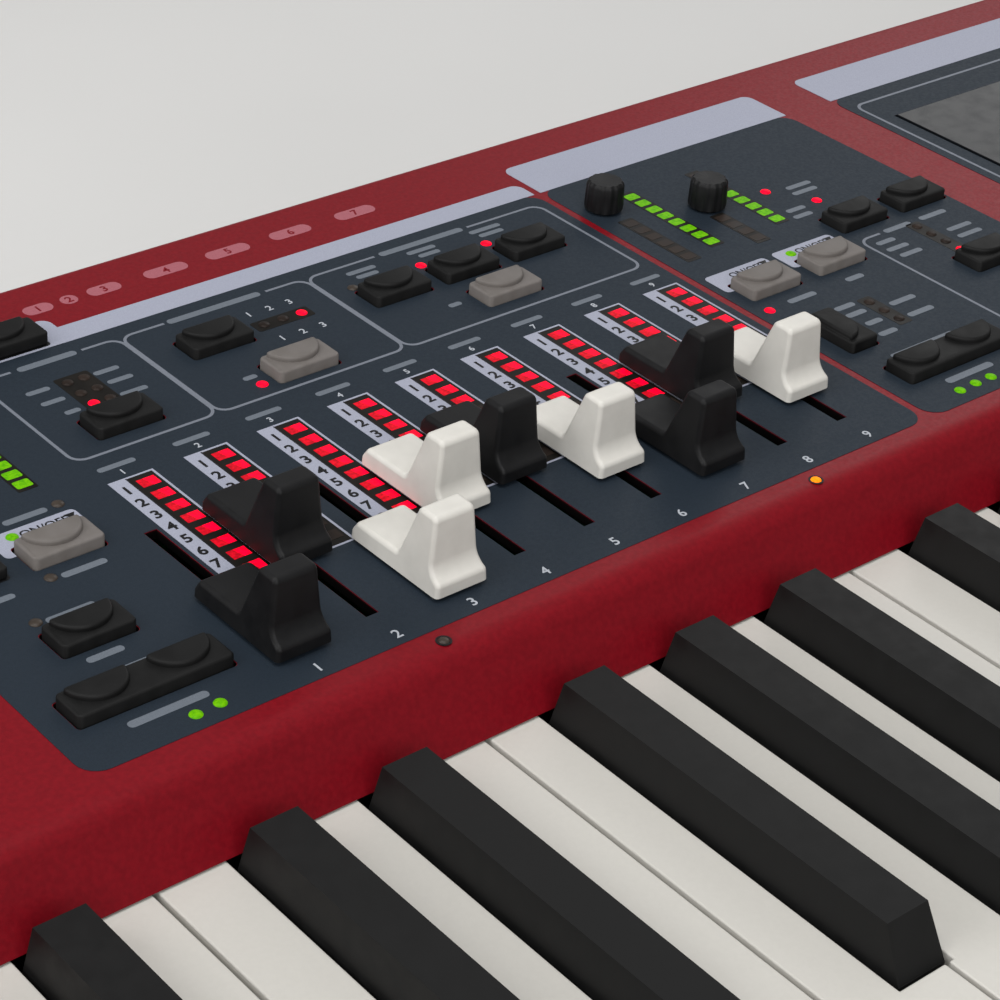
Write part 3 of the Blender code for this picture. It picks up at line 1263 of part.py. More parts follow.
def build_board(name, left, width, parts):
    """A circuit board on four posts on the pan, with its tall parts."""
    floor = PAN_TOP + SEAT_GAP
    near = FRAME_REAR + BOARD_BEHIND_FRAME
    far = near + BOARD_DEPTH
    low = floor + BOARD_STAND
    bm = bmesh.new()
    block(bm, (left, left + width), (near, far), (low, low + BOARD_SHEET))
    board = piece(name, bm, "circuit_board")
    extra = bmesh.new()
    sunk = low + BOARD_SHEET / 2
    for (x, y), size, height in parts:
        middle = (left + width / 2 + x, (near + far) / 2 + y)
        plan(extra, rectangle(*middle, *size), sunk, low + BOARD_SHEET + height)
    for x in (left + STAND_INSET, left + width - STAND_INSET):
        for y in (near + STAND_INSET, far - STAND_INSET):
            plan(extra, rectangle(x, y, STAND_SIZE, STAND_SIZE), floor, sunk)
    tool(extra, board, "UNION")


def build():
    for made in list(bpy.data.objects):
        bpy.data.objects.remove(made, do_unlink=True)
    build_bottom_pan()
    build_top_panel()
    build_cheek("left_cheek", -1)
    build_cheek("right_cheek", 1)
    build_rear_panel()
    build_front_rail()
    build_feet()
    build_key_frame()
    build_felt_and_contacts()
    for note in FREE_KEYS:
        build_key(note)
    build_comb("keys_low", range(FIRST_NOTE, FREE_KEYS[0]))
    middle = (FREE_KEYS[-1] + 1 + FIRST_NOTE + KEY_COUNT) // 2
    build_comb("keys_middle", range(FREE_KEYS[-1] + 1, middle))
    build_comb("keys_high", range(middle, FIRST_NOTE + KEY_COUNT))
    build_fader_bank()
    for index in range(DRAWBAR_COUNT):
        build_drawbar(index)
    build_control_board()
    build_keypad_mat()
    build_organ_buttons()
    build_knob("piano_knob_1", PIANO_KNOBS[0], KNOB_RADIUS, KNOB_HEIGHT)
    build_knob("piano_knob_2", PIANO_KNOBS[1], KNOB_RADIUS, KNOB_HEIGHT)
    build_knob("master_knob", MASTER_PLACE, KNOB_RADIUS, KNOB_HEIGHT)
    build_knob("program_dial", DIAL_PLACE, DIAL_RADIUS, DIAL_HEIGHT)
    build_display()
    build_wheel_box()
    build_wheel()
    build_stick()
    build_audio_jacks()
    build_data_sockets()
    build_mains_inlet()
    build_power_switch()
    build_board("main_board", from_end(MAIN_BOARD_FROM_END), MAIN_BOARD_WIDTH, MAIN_BOARD_PARTS)
    build_board("power_supply", from_end(POWER_SUPPLY_FROM_END), POWER_SUPPLY_WIDTH, POWER_SUPPLY_PARTS)


build()
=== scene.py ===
"""The looks of a 73-key stage piano with nine organ drawbars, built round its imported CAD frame."""

import json
import math

import bmesh
import bpy
from mathutils import Matrix, Vector

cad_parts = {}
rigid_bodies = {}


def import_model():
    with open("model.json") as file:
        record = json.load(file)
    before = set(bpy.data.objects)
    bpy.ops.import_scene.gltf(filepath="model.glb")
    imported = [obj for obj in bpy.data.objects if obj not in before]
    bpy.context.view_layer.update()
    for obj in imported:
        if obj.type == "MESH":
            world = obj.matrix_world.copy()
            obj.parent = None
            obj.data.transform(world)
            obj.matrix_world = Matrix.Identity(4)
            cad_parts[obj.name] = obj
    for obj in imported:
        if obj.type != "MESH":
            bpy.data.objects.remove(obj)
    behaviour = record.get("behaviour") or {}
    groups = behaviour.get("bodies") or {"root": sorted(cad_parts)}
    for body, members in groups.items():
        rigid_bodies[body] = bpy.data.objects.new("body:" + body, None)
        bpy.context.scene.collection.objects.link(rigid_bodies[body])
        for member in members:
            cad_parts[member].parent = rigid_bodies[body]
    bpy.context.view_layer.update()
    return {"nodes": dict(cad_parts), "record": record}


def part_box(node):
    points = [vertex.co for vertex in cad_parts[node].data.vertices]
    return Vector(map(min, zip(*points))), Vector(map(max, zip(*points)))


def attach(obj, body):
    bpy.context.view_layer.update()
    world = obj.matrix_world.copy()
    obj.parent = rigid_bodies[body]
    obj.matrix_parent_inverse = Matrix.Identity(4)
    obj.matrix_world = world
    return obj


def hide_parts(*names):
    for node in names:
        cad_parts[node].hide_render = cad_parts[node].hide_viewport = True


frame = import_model()
MM = 0.001


def centre(node):
    """The middle of a CAD piece's box."""
    return [(low + high) / 2 for low, high in zip(*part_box(node))]


# Places taken from the frame
(PANEL_LEFT, BAR_FRONT, BAR_LOW), (PANEL_RIGHT, BACK, PANEL_TOP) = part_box("top_panel")
REAR_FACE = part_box("rear_panel")[1].y
SOCKET_Z = centre("mains_inlet")[2]
STICK = centre("pitch_stick")[:2]
WHEEL = centre("mod_wheel")[:2]
KEYS_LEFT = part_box("front_rail")[0].x
KEY_FRONT, WHITE_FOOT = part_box("key_A2")[0].yz
KEY_REAR, WHITE_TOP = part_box("key_A2")[1].yz
BLACK_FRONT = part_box("key_As2")[0].y
BLACK_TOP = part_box("key_As2")[1].z

# Keyboard
OCTAVE = 165 * MM
WHITE_CLASSES = (0, 2, 4, 5, 7, 9, 11)
KEY_NAMES = "C Cs D Ds E F Fs G Gs A As B".split()
WHITE_PITCH = OCTAVE / 7
SEMITONE = OCTAVE / 12
FIRST_NOTE = 28
LAST_NOTE = 100
FREE_KEYS = range(42, 50)
MIDDLE_KEYS = range(50, 75)
WHITES = [note for note in range(FIRST_NOTE, LAST_NOTE + 1) if note % 12 in WHITE_CLASSES]
BLACK_HALF = 5.6 * MM
KEY_UNDER = WHITE_TOP - 14 * MM
KEY_SHANK = WHITE_TOP - 6.5 * MM

# Drawbars and their light ladders, in millimetres
PITCH = 17.5
WHITE_CAPS = (3, 4, 6, 9)
LIT = (8, 3, 8, 4, 3, 5, 7, 4, 5)
SLOT_SIZE = (2.7, 45.1)
SLOT_Y = -40.75
SLOT_TO_LADDER = 2.3
LADDERS = [PITCH * index for index in range(9)]

# Ladder 1's rear left corner, from which the panel's layout is measured
LADDER_X = centre("drawbar_1")[0] + SLOT_TO_LADDER * MM
LADDER_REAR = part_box("fader_bank")[1].y + 11.2 * MM

# The printed layers on the panel
SLATE = 0.1 * MM
INK = 0.05 * MM
INK_LOW = PANEL_TOP + SLATE
INK_HIGH = INK_LOW + INK
FIGURES = INK_HIGH + INK / 2


def at(x, y, z=0.0):
    """A place given in millimetres from ladder 1's rear left corner on the panel."""
    return Vector((LADDER_X + x * MM, LADDER_REAR + y * MM, PANEL_TOP + z * MM))


def plan_at(points):
    return [at(x, y).to_2d() for x, y in points]


# Materials

def linear(hex_colour):
    """A colour written as six hexadecimal digits, as linear light."""
    parts = [int(hex_colour[index:index + 2], 16) / 255 for index in (0, 2, 4)]
    return [part / 12.92 if part <= 0.04045 else ((part + 0.055) / 1.055) ** 2.4 for part in parts]


class Surface:
    """A material whose nodes are added one by one."""

    def __init__(self, name, roughness, metallic=0.0, specular=0.25):
        self.material = bpy.data.materials.new(name)
        self.material.use_nodes = True
        self.tree = self.material.node_tree
        self.shader = self.tree.nodes["Principled BSDF"]
        values = {"Roughness": roughness, "Metallic": metallic, "Specular IOR Level": specular}
        for socket, value in values.items():
            self.shader.inputs[socket].default_value = value
        self.coordinates = self.tree.nodes.new("ShaderNodeTexCoord").outputs["Object"]

    def node(self, kind, values, links):
        """Add a node, set some of its inputs and link others."""
        made = self.tree.nodes.new("ShaderNode" + kind)
        for name, value in values.items():
            made.inputs[name].default_value = value
        for name, source in links.items():
            self.tree.links.new(source, made.inputs[name])
        return made

    def feed(self, source, name):
        self.tree.links.new(source, self.shader.inputs[name])

    def noise(self, scale, detail, stretch=None):
        source = self.coordinates
        if stretch:
            source = self.node("Mapping", {"Scale": stretch}, {"Vector": source}).outputs["Vector"]
        return self.node("TexNoise", {"Scale": scale, "Detail": detail}, {"Vector": source}).outputs["Fac"]

    def cells(self, scale):
        return self.node("TexVoronoi", {"Scale": scale}, {"Vector": self.coordinates}).outputs["Distance"]

    def spread(self, factor, low, high, start=0.35, end=0.65):
        """A value that runs from low to high as the factor passes from start to end."""
        values = {"From Min": start, "From Max": end, "To Min": low, "To Max": high}
        return self.node("MapRange", values, {"Value": factor}).outputs["Result"]

    def colours(self, factor, dark, light, start=0.35, end=0.65):
        ramp = self.node("ValToRGB", {}, {"Fac": factor})
        for element, spot, colour in zip(ramp.color_ramp.elements, (start, end), (dark, light)):
            element.position = spot
            element.color = (*linear(colour), 1)
        self.feed(ramp.outputs["Color"], "Base Color")
        return ramp.outputs["Color"]

    def rough(self, factor, low, high):
        self.feed(self.spread(factor, low, high), "Roughness")

    def bump(self, height, strength, depth):
        """Bumps whose depth is in millimetres."""
        made = self.node("Bump", {"Strength": strength, "Distance": depth * MM}, {"Height": height})
        self.feed(made.outputs["Normal"], "Normal")


def grained(name, roughness, tones, wear, grain, specular=0.25, metallic=0.0, edges=(0.35, 0.65),
            stretch=None):
    """A material that is slightly uneven in its tone, its roughness and its surface.

    Each has the scale and detail of its noise, and then two colours, two roughnesses, or the bumps' strength
    and depth.
    """
    made = Surface(name, roughness, metallic, specular)
    made.colours(made.noise(*tones[:2], stretch), *tones[2:], *edges)
    made.rough(made.noise(*wear[:2]), *wear[2:])
    made.bump(made.noise(*grain[:2]), *grain[2:])
    return made.material


def cut_edge():
    """The sheet's edge inside the cut-outs, with painted shade: dark red at the rim, darkening to near black
    lower down.
    """
    made = Surface("panel_cut_edge_painted_shade", 0.8, specular=0.05)
    parts = made.node("SeparateXYZ", {}, {"Vector": made.coordinates})
    # Painted shade: the colour darkens from the rim down into the cut-out
    rise = made.spread(parts.outputs["Z"], 0, 1, PANEL_TOP - 0.5 * MM, PANEL_TOP - 0.1 * MM)
    made.colours(rise, "050404", "24070b", 0, 1)
    made.bump(made.noise(2000, 2), 0.2, 0.03)
    return made.material


def moulded_red():
    """The end cheeks' red: a softer, deeper grain."""
    made = Surface("red_moulding_grain", 0.5, specular=0.15)
    made.colours(made.noise(500, 5), "6c0a16", "770d19")
    made.rough(made.noise(700, 3), 0.44, 0.56)
    made.bump(made.cells(900), 0.3, 0.06)
    return made.material


def print_ink(name, dark, light):
    """Screen-printed ink, slightly uneven at its finest scale."""
    return grained(name, 0.5, (4200, 3, dark, light), (1500, 2, 0.44, 0.56), (3000, 2, 0.12, 0.02),
                   edges=(0.3, 0.7))


def satin(name, dark, light, roughness, grain=1500, depth=0.25, scuff=240, specular=0.25):
    """Moulded plastic with a fine eroded grain and a little handling wear."""
    return grained(name, roughness, (scuff, 6, dark, light), (scuff, 5, roughness - 0.05, roughness + 0.06),
                   (grain, 3, depth, 0.03), specular)


def steel(name, dark, light, roughness, metallic):
    """Sheet steel, coated or plated, with a slight grain along its length."""
    return grained(name, roughness, (40, 6, dark, light), (300, 4, roughness - 0.05, roughness + 0.08),
                   (1800, 3, 0.2, 0.03), metallic=metallic, stretch=(0.15, 1, 1))


def lamp_glass(name, dark, light, strength):
    """A lit lens: moulded diffuser with uneven brightness."""
    made = Surface(name, 0.45, specular=0.08)
    made.feed(made.colours(made.noise(1300, 4), dark, light, 0.3, 0.62), "Emission Color")
    made.shader.inputs["Emission Strength"].default_value = strength
    made.bump(made.cells(1500), 0.2, 0.05)
    return made.material


def felt_cloth():
    made = Surface("red_felt", 0.95)
    made.shader.inputs["Sheen Weight"].default_value = 0.4
    made.colours(made.noise(700, 8), "4a1210", "6a1c18")
    made.bump(made.noise(1500, 8), 0.8, 0.2)
    return made.material


def board_green():
    """Solder mask over copper tracks."""
    made = Surface("solder_mask", 0.38)
    made.colours(made.cells(220), "0b4a20", "145c2b", 0.1, 0.5)
    made.bump(made.cells(220), 0.25, 0.05)
    return made.material


RED = grained("red_powder_coat", 0.42, (900, 5, "700915", "7b0c18"), (1400, 3, 0.36, 0.46),
              (2600, 3, 0.3, 0.04), 0.15)
EDGE = cut_edge()
MOULDING = moulded_red()
SLATE_COAT = grained("slate_coat", 0.55, (3800, 2, "1e262e", "262f39"), (1200, 3, 0.5, 0.6),
                     (3800, 2, 0.2, 0.02), 0.15, edges=(0.3, 0.7))
PRINT = print_ink("light_ink", "9598a8", "a5a8b7")
LINE = print_ink("line_ink", "6a6f79", "777c86")
LABEL = print_ink("label_ink", "a3a8b0", "b4b8bf")
MUTED = print_ink("muted_ink", "5f666f", "6b727b")
PINK_INK = print_ink("pink_ink", "9c5660", "a7616a")
# Black ink for figures and words; the same material paints shadows at the ladder windows' left edges and
# round two resting keys
BLACK_INK_AND_SHADE = print_ink("black_ink_and_shade", "0c0c0d", "151517")
WINDOW = satin("smoked_window", "141210", "1d1a17", 0.4, 900, 0.1, specular=0.1)
WHITE_CAP = satin("white_cap_plastic", "cfccc5", "d5d2cb", 0.42, 1600, 0.2)
BLACK_CAP = satin("black_cap_plastic", "121213", "171718", 0.5, 1600, 0.3, specular=0.2)
BLACK_RUBBER = satin("black_button_rubber", "101010", "161616", 0.55, 1200, 0.3, specular=0.18)
GREY_RUBBER = satin("grey_button_rubber", "68635f", "706b68", 0.5, 1200, 0.3, specular=0.2)
BLACK_PLASTIC = satin("black_plastic_grain", "101011", "161617", 0.5, 1400, 0.35)
WHITE_KEY = satin("white_key_plastic", "c8c5be", "cac7c0", 0.34, 900, 0.05, 1100)
BLACK_KEY = satin("black_key_matt", "111111", "151515", 0.55, 1800, 0.25, specular=0.2)
FOOT_RUBBER = satin("foot_rubber", "141414", "202020", 0.75, 800, 0.5)
STEEL = steel("black_steel_coat", "141416", "1d1d20", 0.5, 0.2)
ZINC = steel("zinc_plate", "a7a9ab", "bfc1c3", 0.35, 0.9)
NICKEL = steel("nickel_plate", "9a9a98", "b4b4b0", 0.3, 1.0)
FELT = felt_cloth()
BOARD = board_green()
RED_LIGHT = lamp_glass("red_light", "c00018", "f0002a", 1.1)
RED_DIM = lamp_glass("red_light_edge", "8c0614", "b8081c", 0.8)
RED_OFF = satin("red_light_off", "241d1a", "302722", 0.4, 900, 0.2, specular=0.1)
GREEN_LIGHT = lamp_glass("green_light", "3f8200", "5c9a00", 0.6)
AMBER_LIGHT = lamp_glass("amber_light", "e06c04", "ff860c", 0.95)
BROWN_OFF = satin("light_off", "352e28", "423932", 0.35, 900, 0.2)
GLASS = satin("display_glass", "090b0e", "0c0f13", 0.16, 60, 0.01, specular=0.12)


# Outlines

def corners(left, right, near, far):
    return [(left, near), (right, near), (right, far), (left, far)]


def rectangle(x, y, width, depth):
    return corners(x - width / 2, x + width / 2, y - depth / 2, y + depth / 2)


def around(x, y, radius, turns):
    return [(x + radius * math.cos(turn), y + radius * math.sin(turn)) for turn in turns]


def circle(x, y, radius, count=32):
    return around(x, y, radius, [math.tau * (step + 0.5) / count for step in range(count)])


def arc(middle, radius, start, end, count):
    turns = [math.radians(start + (end - start) * step / count) for step in range(count + 1)]
    return around(*middle, radius, turns)


def rounded(points, radius, steps=6, closed=True):
    """An outline with its corners rounded; radius may be a list with one value for each corner."""
    points = [Vector(point) for point in points]
    count = len(points)
    radii = radius if isinstance(radius, list) else [radius] * count
    made = []
    for index, (corner, size) in enumerate(zip(points, radii)):
        if size <= 0 or (not closed and index in (0, count - 1)):
            made.append(tuple(corner))
            continue
        before = (points[index - 1] - corner).normalized()
        after = (points[(index + 1) % count] - corner).normalized()
        half = before.angle(after) / 2
        middle = corner + (before + after).normalized() * size / math.sin(half)
        start, end = [corner + run * (size / math.tan(half)) - middle for run in (before, after)]
        turn = math.atan2(start.x * end.y - start.y * end.x, start.dot(end))
        first = math.atan2(start.y, start.x)
        made += around(*middle, size, [first + turn * step / steps for step in range(steps + 1)])
    return made


def rounded_box(left, right, near, far, radius, steps=6):
    return rounded(corners(left, right, near, far), radius, steps)


def normals(points, closed=False):
    """For each point of a line its normal to the left, and how much of that either side of it shares."""
    count = len(points)
    made = []
    for index in range(count):
        sides = []
        for start, end in ((index - 1, index), (index, index + 1)):
            if closed or (0 <= start and end < count):
                run = (points[end % count] - points[start % count]).normalized()
                sides.append(Vector((-run.y, run.x)))
        middle = sum(sides, Vector((0, 0))).normalized()
        made.append((middle, max(0.3, middle.dot(sides[0]))))
    return made


def folded(path, thickness):
    """The closed outline of a sheet whose outer side follows path, thick towards its right."""
    path = [Vector(point) for point in path]
    inner = [point - normal * thickness / share for point, (normal, share) in zip(path, normals(path))]
    return [tuple(point) for point in path + inner[::-1]]


# Solids

def bridge(bm, rings, slot=0, loop=False):
    """Join rings of corners into a closed skin, which has an end face at both ends unless it is a loop."""
    pairs = list(zip(rings, rings[1:]))
    faces = []
    if loop:
        pairs.append((rings[-1], rings[0]))
    else:
        faces = [bm.faces.new(rings[0]), bm.faces.new(rings[-1])]
    count = len(rings[0])
    for near, far in pairs:
        for index in range(count):
            after = (index + 1) % count
            faces.append(bm.faces.new((near[index], near[after], far[after], far[index])))
    for face in faces:
        face.material_index = slot
    bmesh.ops.recalc_face_normals(bm, faces=faces)


def prism(bm, outline, low, high, place, slot=0):
    """Close an outline into a solid: place(point, depth) puts its corners from low to high."""
    bridge(bm, [[bm.verts.new(place(point, depth)) for point in outline] for depth in (low, high)], slot)


def plan(bm, outline, low, high, slot=0):
    prism(bm, outline, low, high, lambda point, z: (*point, z), slot)


def side(bm, outline, left, right):
    prism(bm, outline, left, right, lambda point, x: (x, *point))


def front(bm, outline, near, far):
    prism(bm, outline, near, far, lambda point, y: (point[0], y, point[1]))


def mark(bm, outline, low=INK_LOW, high=INK_HIGH, slot=0):
    """A flat shape on the panel, its outline in millimetres."""
    plan(bm, plan_at(outline), low, high, slot)


def stroke(bm, points, width, low=INK_LOW, high=INK_HIGH, closed=False):
    """A line of even width on the panel, its path and width in millimetres."""
    points = plan_at(points)
    rows = []
    for point, (normal, share) in zip(points, normals(points, closed)):
        offset = normal * (width * MM) / 2 / share
        rows.append([bm.verts.new((*(point + offset * hand), z))
                     for hand, z in ((-1, low), (1, low), (1, high), (-1, high))])
    bridge(bm, rows, loop=closed)


def lathe(bm, profile, place, count=48, ribs=0, depth=0.0, rib_from=0.0, slot=0):
    """A turned solid on a vertical axis; ribs modulate its radius above rib_from."""
    rings = []
    for radius, z in profile:
        ring = []
        for step in range(count):
            turn = math.tau * step / count
            grown = radius
            if ribs and z >= rib_from:
                grown -= depth * (0.5 + 0.5 * math.cos(turn * ribs))
            ring.append(bm.verts.new((*around(*place, grown, [turn])[0], z)))
        rings.append(ring)
    bridge(bm, rings, slot)


def dome(bm, place, radius, height, slot=0):
    """A small lens that stands on a surface."""
    x, y, z = place
    rings = 4
    turns = [math.pi / 2 * step / rings for step in range(rings)]
    curve = [(radius * math.cos(turn), z + height * math.sin(turn)) for turn in turns]
    lathe(bm, [(radius, z - 0.02 * MM), *curve, (radius * 0.08, z + height)], (x, y), 20, slot=slot)


# Pieces

def link(name, data):
    made = bpy.data.objects.new(name, data)
    bpy.context.scene.collection.objects.link(made)
    return made


def to_mesh(name, bm):
    mesh = bpy.data.meshes.new(name)
    bm.to_mesh(mesh)
    bm.free()
    return mesh


def shade(mesh, angle):
    """Smooth shading that keeps the edges sharper than an angle."""
    mesh.shade_smooth()
    mesh.set_sharp_from_angle(angle=math.radians(angle))


def add(name, bm, materials, body="root", stands_for=(), smooth=None):
    """Turn a mesh into a piece that rides on a body."""
    mesh = to_mesh(name, bm)
    for material in materials if isinstance(materials, list) else [materials]:
        mesh.materials.append(material)
    return place_mesh(name, mesh, body, stands_for, smooth)


def ink(name, bm, materials):
    """A printed or painted layer on the panel."""
    return add(name, bm, materials)


def place_mesh(name, mesh, body="root", stands_for=(), smooth=None, where=(0, 0, 0)):
    made = link(name, mesh)
    made.location = where
    if smooth:
        shade(mesh, smooth)
    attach(made, body)
    if stands_for:
        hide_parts(*stands_for)
    return made


def cover(node, mesh, slot, place):
    """Put a cap on the panel that stands for a moving node and rides on it."""
    place_mesh(f"{node}_cap", mesh, node, [node], where=at(*place))


def lay(name, mesh, place, rise=0.0):
    """Put a still piece on the panel."""
    place_mesh(name, mesh, where=at(*place, rise))


def take(made):
    """The mesh of a piece, which is removed itself."""
    mesh = made.data
    bpy.data.objects.remove(made)
    return mesh


def settle(made):
    """Replace a piece's mesh with the result of its modifiers."""
    bpy.context.view_layer.update()
    evaluated = made.evaluated_get(bpy.context.evaluated_depsgraph_get())
    mesh = bpy.data.meshes.new_from_object(evaluated)
    made.modifiers.clear()
    made.data = mesh
    mesh.name = made.name
    return made


def cut(made, bm, operation="DIFFERENCE"):
    """Cut the solids of a second mesh from a piece, or join them to it."""
    cutter = link("cutter", to_mesh("cutter", bm))
    step = made.modifiers.new("cut", "BOOLEAN")
    step.operation = operation
    step.solver = "EXACT"
    step.object = cutter
    settle(made)
    bpy.data.objects.remove(cutter)
    return made


def soften(made, width, segments=3, angle=30):
    """Round a piece's edges and shade it smooth."""
    made.data.shade_smooth()
    edge = made.modifiers.new("edge", "BEVEL")
    edge.width = width
    edge.segments = segments
    edge.limit_method = "ANGLE"
    edge.angle_limit = math.radians(angle)
    edge.harden_normals = True
    return settle(made)


def write_on(bm, text, size, frame_there, bold=0.0):
    """Flat raised figures, centred on the origin of a frame whose Z leaves the surface."""
    curve = bpy.data.curves.new("figures", "FONT")
    curve.body = text
    curve.size = size * MM
    curve.extrude = INK / 2
    curve.offset = bold * MM
    curve.resolution_u = 3
    shape = bpy.data.objects.new("figures", curve)
    mesh = bpy.data.meshes.new_from_object(shape)
    spans = [[corner.co[axis] for corner in mesh.vertices] for axis in range(2)]
    middle = Vector([(min(span) + max(span)) / 2 for span in spans] + [0])
    mesh.transform(frame_there @ Matrix.Translation(-middle))
    bm.from_mesh(mesh)
    bpy.data.batch_remove((shape, curve, mesh))


def write(bm, text, x, y, size, z, bold=0.0):
    """Figures on the panel, centred on a place in millimetres."""
    spot = at(x, y)
    write_on(bm, text, size, Matrix.Translation((spot.x, spot.y, z)), bold)


def number_off(bm, places, size, bold=0.0, z=INK_HIGH):
    """The figures 1, 2, 3 and so on at places on the panel."""
    for index, (x, y) in enumerate(places):
        write(bm, str(index + 1), x, y, size, z, bold)


# Camera

def make_camera():
    """The camera, at the photograph's angle."""
    azimuth, elevation, roll = 0.73731, 0.54621, 0.07358
    turned = Matrix.Rotation(-azimuth, 4, "Z") @ Matrix.Rotation(math.pi / 2 - elevation, 4, "X")
    data = bpy.data.cameras.new("camera")
    data.sensor_fit = "HORIZONTAL"
    data.sensor_width = 36
    data.lens = 36 * 2.64917
    data.shift_y = -0.05
    data.clip_start = 0.01
    camera = link("camera", data)
    turned = turned @ Matrix.Rotation(roll, 4, "Z")
    camera.matrix_world = Matrix.Translation(at(-232.36, -366.79, 274.31)) @ turned
    bpy.context.scene.camera = camera


# Panel layout, in millimetres right of and behind ladder 1's rear left corner

BUTTON = (15.2, 8.2)
BUTTON_RISE = 2.4
BUTTON_GAP = 0.35
ROCKER_WIDTH = 31.8
FRONT_ROW = -57.6
ROW_PITCH = 26.8
ORGAN_BUTTONS = {
    "aux_button": (-18.9, -13.2), "preset_button": (-29.1, -39.2), "model_button": (15.4, 18.7),
    "vibrato_type_button": (49, 34.6), "vibrato_on_button": (58.1, 17),
    "percussion_soft_button": (94.8, 31.7), "percussion_fast_button": (114.4, 31.7),
    "percussion_third_button": (134, 31.7), "percussion_on_button": (115.6, 18.5),
}
GREY_BUTTONS = ("aux_button", "vibrato_on_button", "percussion_on_button")
ROCKER = (-29.4, FRONT_ROW)
PIANO_GREY = [(166.7, -11.9), (188.2, -11.7)]
PIANO_BLACK = [(208.6, 0.3), (228.9, 0.3), (220.9, -30.8)]
PIANO_ROCKER = (176.9, FRONT_ROW)
PIANO_UPRIGHT = (164.1, -37.6)
PROGRAM_BUTTONS = [(262 + 19 * column, FRONT_ROW + ROW_PITCH * row) for row in (0, 1) for column in range(8)]
RIGHT_BUTTONS = [(447 + 19 * column, FRONT_ROW) for column in range(6)]
RIGHT_BUTTONS += [(612 + 42 * column, FRONT_ROW) for column in range(5)]
# Keys that only the picture's left edge shows
LEFT_KEY = (-39.3, -12.7)
REAR_KEY = (8.8, 56.8)
REAR_KEY_SIZE = (22, 8.4)
PIANO_KNOBS = [(161.3, 36.8), (183.2, 24.4)]
STATIC_KNOBS = [(left + 42 * column, -24 + 40 * row) for left, columns in ((462, 3), (612, 5))
                for row in (0, 1) for column in range(columns)]
MASTER = (-74, 30)
DIAL = (394, 14)
DISPLAY = (308, 16)
DISPLAY_SIZE = (92, 40)
SLATE_NEAR = -73.54
SLATE_FAR = 51.85
STRIPE_FAR = 58
# How far the coat stays back from a cut-out's edge
COAT_GAP = 0.1
SECTIONS = [(-51.1, 152.5), (154.5, 237.5), (254, 425), (427, 589),
            (591, (PANEL_RIGHT - LADDER_X - 60.2 * MM) / MM)]

# Levers: the stick's arm, swing and half width, and the wheel's radius and its axle's depth below the panel
STICK_ARM = 28
STICK_SWING = 20
STICK_HALF = 8
WHEEL_RADIUS = 23
AXLE_DEPTH = 11

# Bars printed in place of words, by their height: middle and width
WORD_BARS = {
    1.5: (*[(x + 5.2, 4.9, 8.6) for x in LADDERS], (7.6, 37.4, 5.5), (8, 32.3, 5.5), (9.2, 26.9, 3.6),
          (23.6, 37, 6), (24.1, 32.5, 6), (23.8, 27, 6.5), (94.5, 43.4, 8), (94.5, 41, 6), (112, 43.9, 8),
          (112.5, 41.5, 6), (131, 44.2, 9), (131, 41.8, 7), (46.4, 18.2, 3.4), (102, 19.4, 3.4),
          (-30.3, -51.7, 22)),
    1.6: ((-38.2, -21.9, 9), (176.1, -51.1, 20), (210.4, 20.6, 8), (209.6, 17.6, 8), (200.4, 11.6, 6),
          (199.6, 8.4, 6), (206.2, -12.2, 6), (206.4, -15.8, 7), (207.1, -19.4, 7), (227.2, -16.4, 8),
          (226.8, -20.1, 8)),
    1.7: ((-18.8, -0.9, 9.5), (-18.9, -21.6, 9.6), (-28.4, -32.1, 10.2), (-30.3, -46.3, 7.6),
          (186.5, -20.8, 5.5), (169.3, -20.9, 8.6), (174.2, -29.4, 6), (174.1, -33, 6), (174.6, -37.9, 5),
          (173.8, -42.9, 5.5), (187.7, -34.4, 8), (187.3, -40.3, 8), (214.1, -8.6, 9), (226.4, -8.6, 9)),
    1.9: ((15.6, 46.9, 14), (57.4, 47, 24), (114.5, 47, 24), (-30.2, -65.7, 16.3), (175.2, -65.3, 14.6)),
}
# Numbered marks behind the stripe: middle and width
REAR_PILLS = ((26, 7), (33.7, 4), (42.6, 8.2), (58.6, 11), (75.2, 11.4), (92.5, 11), (111, 11))
ROUND_LIGHTS = {
    "red": (RED_LIGHT, ((14.4, 27.2), (71.8, 34.8), (46.9, 14.6), (107.2, 37.9), (126.5, 38.2), (200.9, 22.3),
                        (208.2, 12.2), (218.4, -24.8), (158.7, -21.3))),
    "green": (GREEN_LIGHT, ((-24.4, -5.6), (-27.3, -69.6), (-22.1, -69.3), (167.6, -69.4), (172.8, -69.2),
                            (177.7, -69.2), (182.5, -4.4))),
    "unlit": (BROWN_OFF, ((-11.4, -0.6), (-25.6, -20.9), (-35.2, -31.4), (88, 37.8))),
    "dark": (RED_OFF, ((14.4, 32), (14.4, 37), (18.3, 27.2), (18.3, 32), (18.3, 37), (62, 34.9), (66.9, 34.9),
                       (218.4, -20), (218.4, -15.5), (218.4, -11), (180.5, -31), (180.5, -35.5),
                       (180.5, -40))),
}
# Dark windows in the panel: left, right, near and far
LIGHT_WINDOWS = ((12.2, 20.3, 25, 39.4), (59.4, 74.2, 32.7, 36.9), (216.2, 220.6, -27, -9),
                 (178.4, 182.6, -42.4, -28.8))
# Light ladders: middle, foot, lights in all and lights lit
LIGHT_LADDERS = ((-13.2, 7.2, 8, 8), (171.4, 8.6, 8, 8), (192.9, 8.6, 8, 5), (161.6, 6, 6, 0), (182, 4, 4, 0))


# Panel

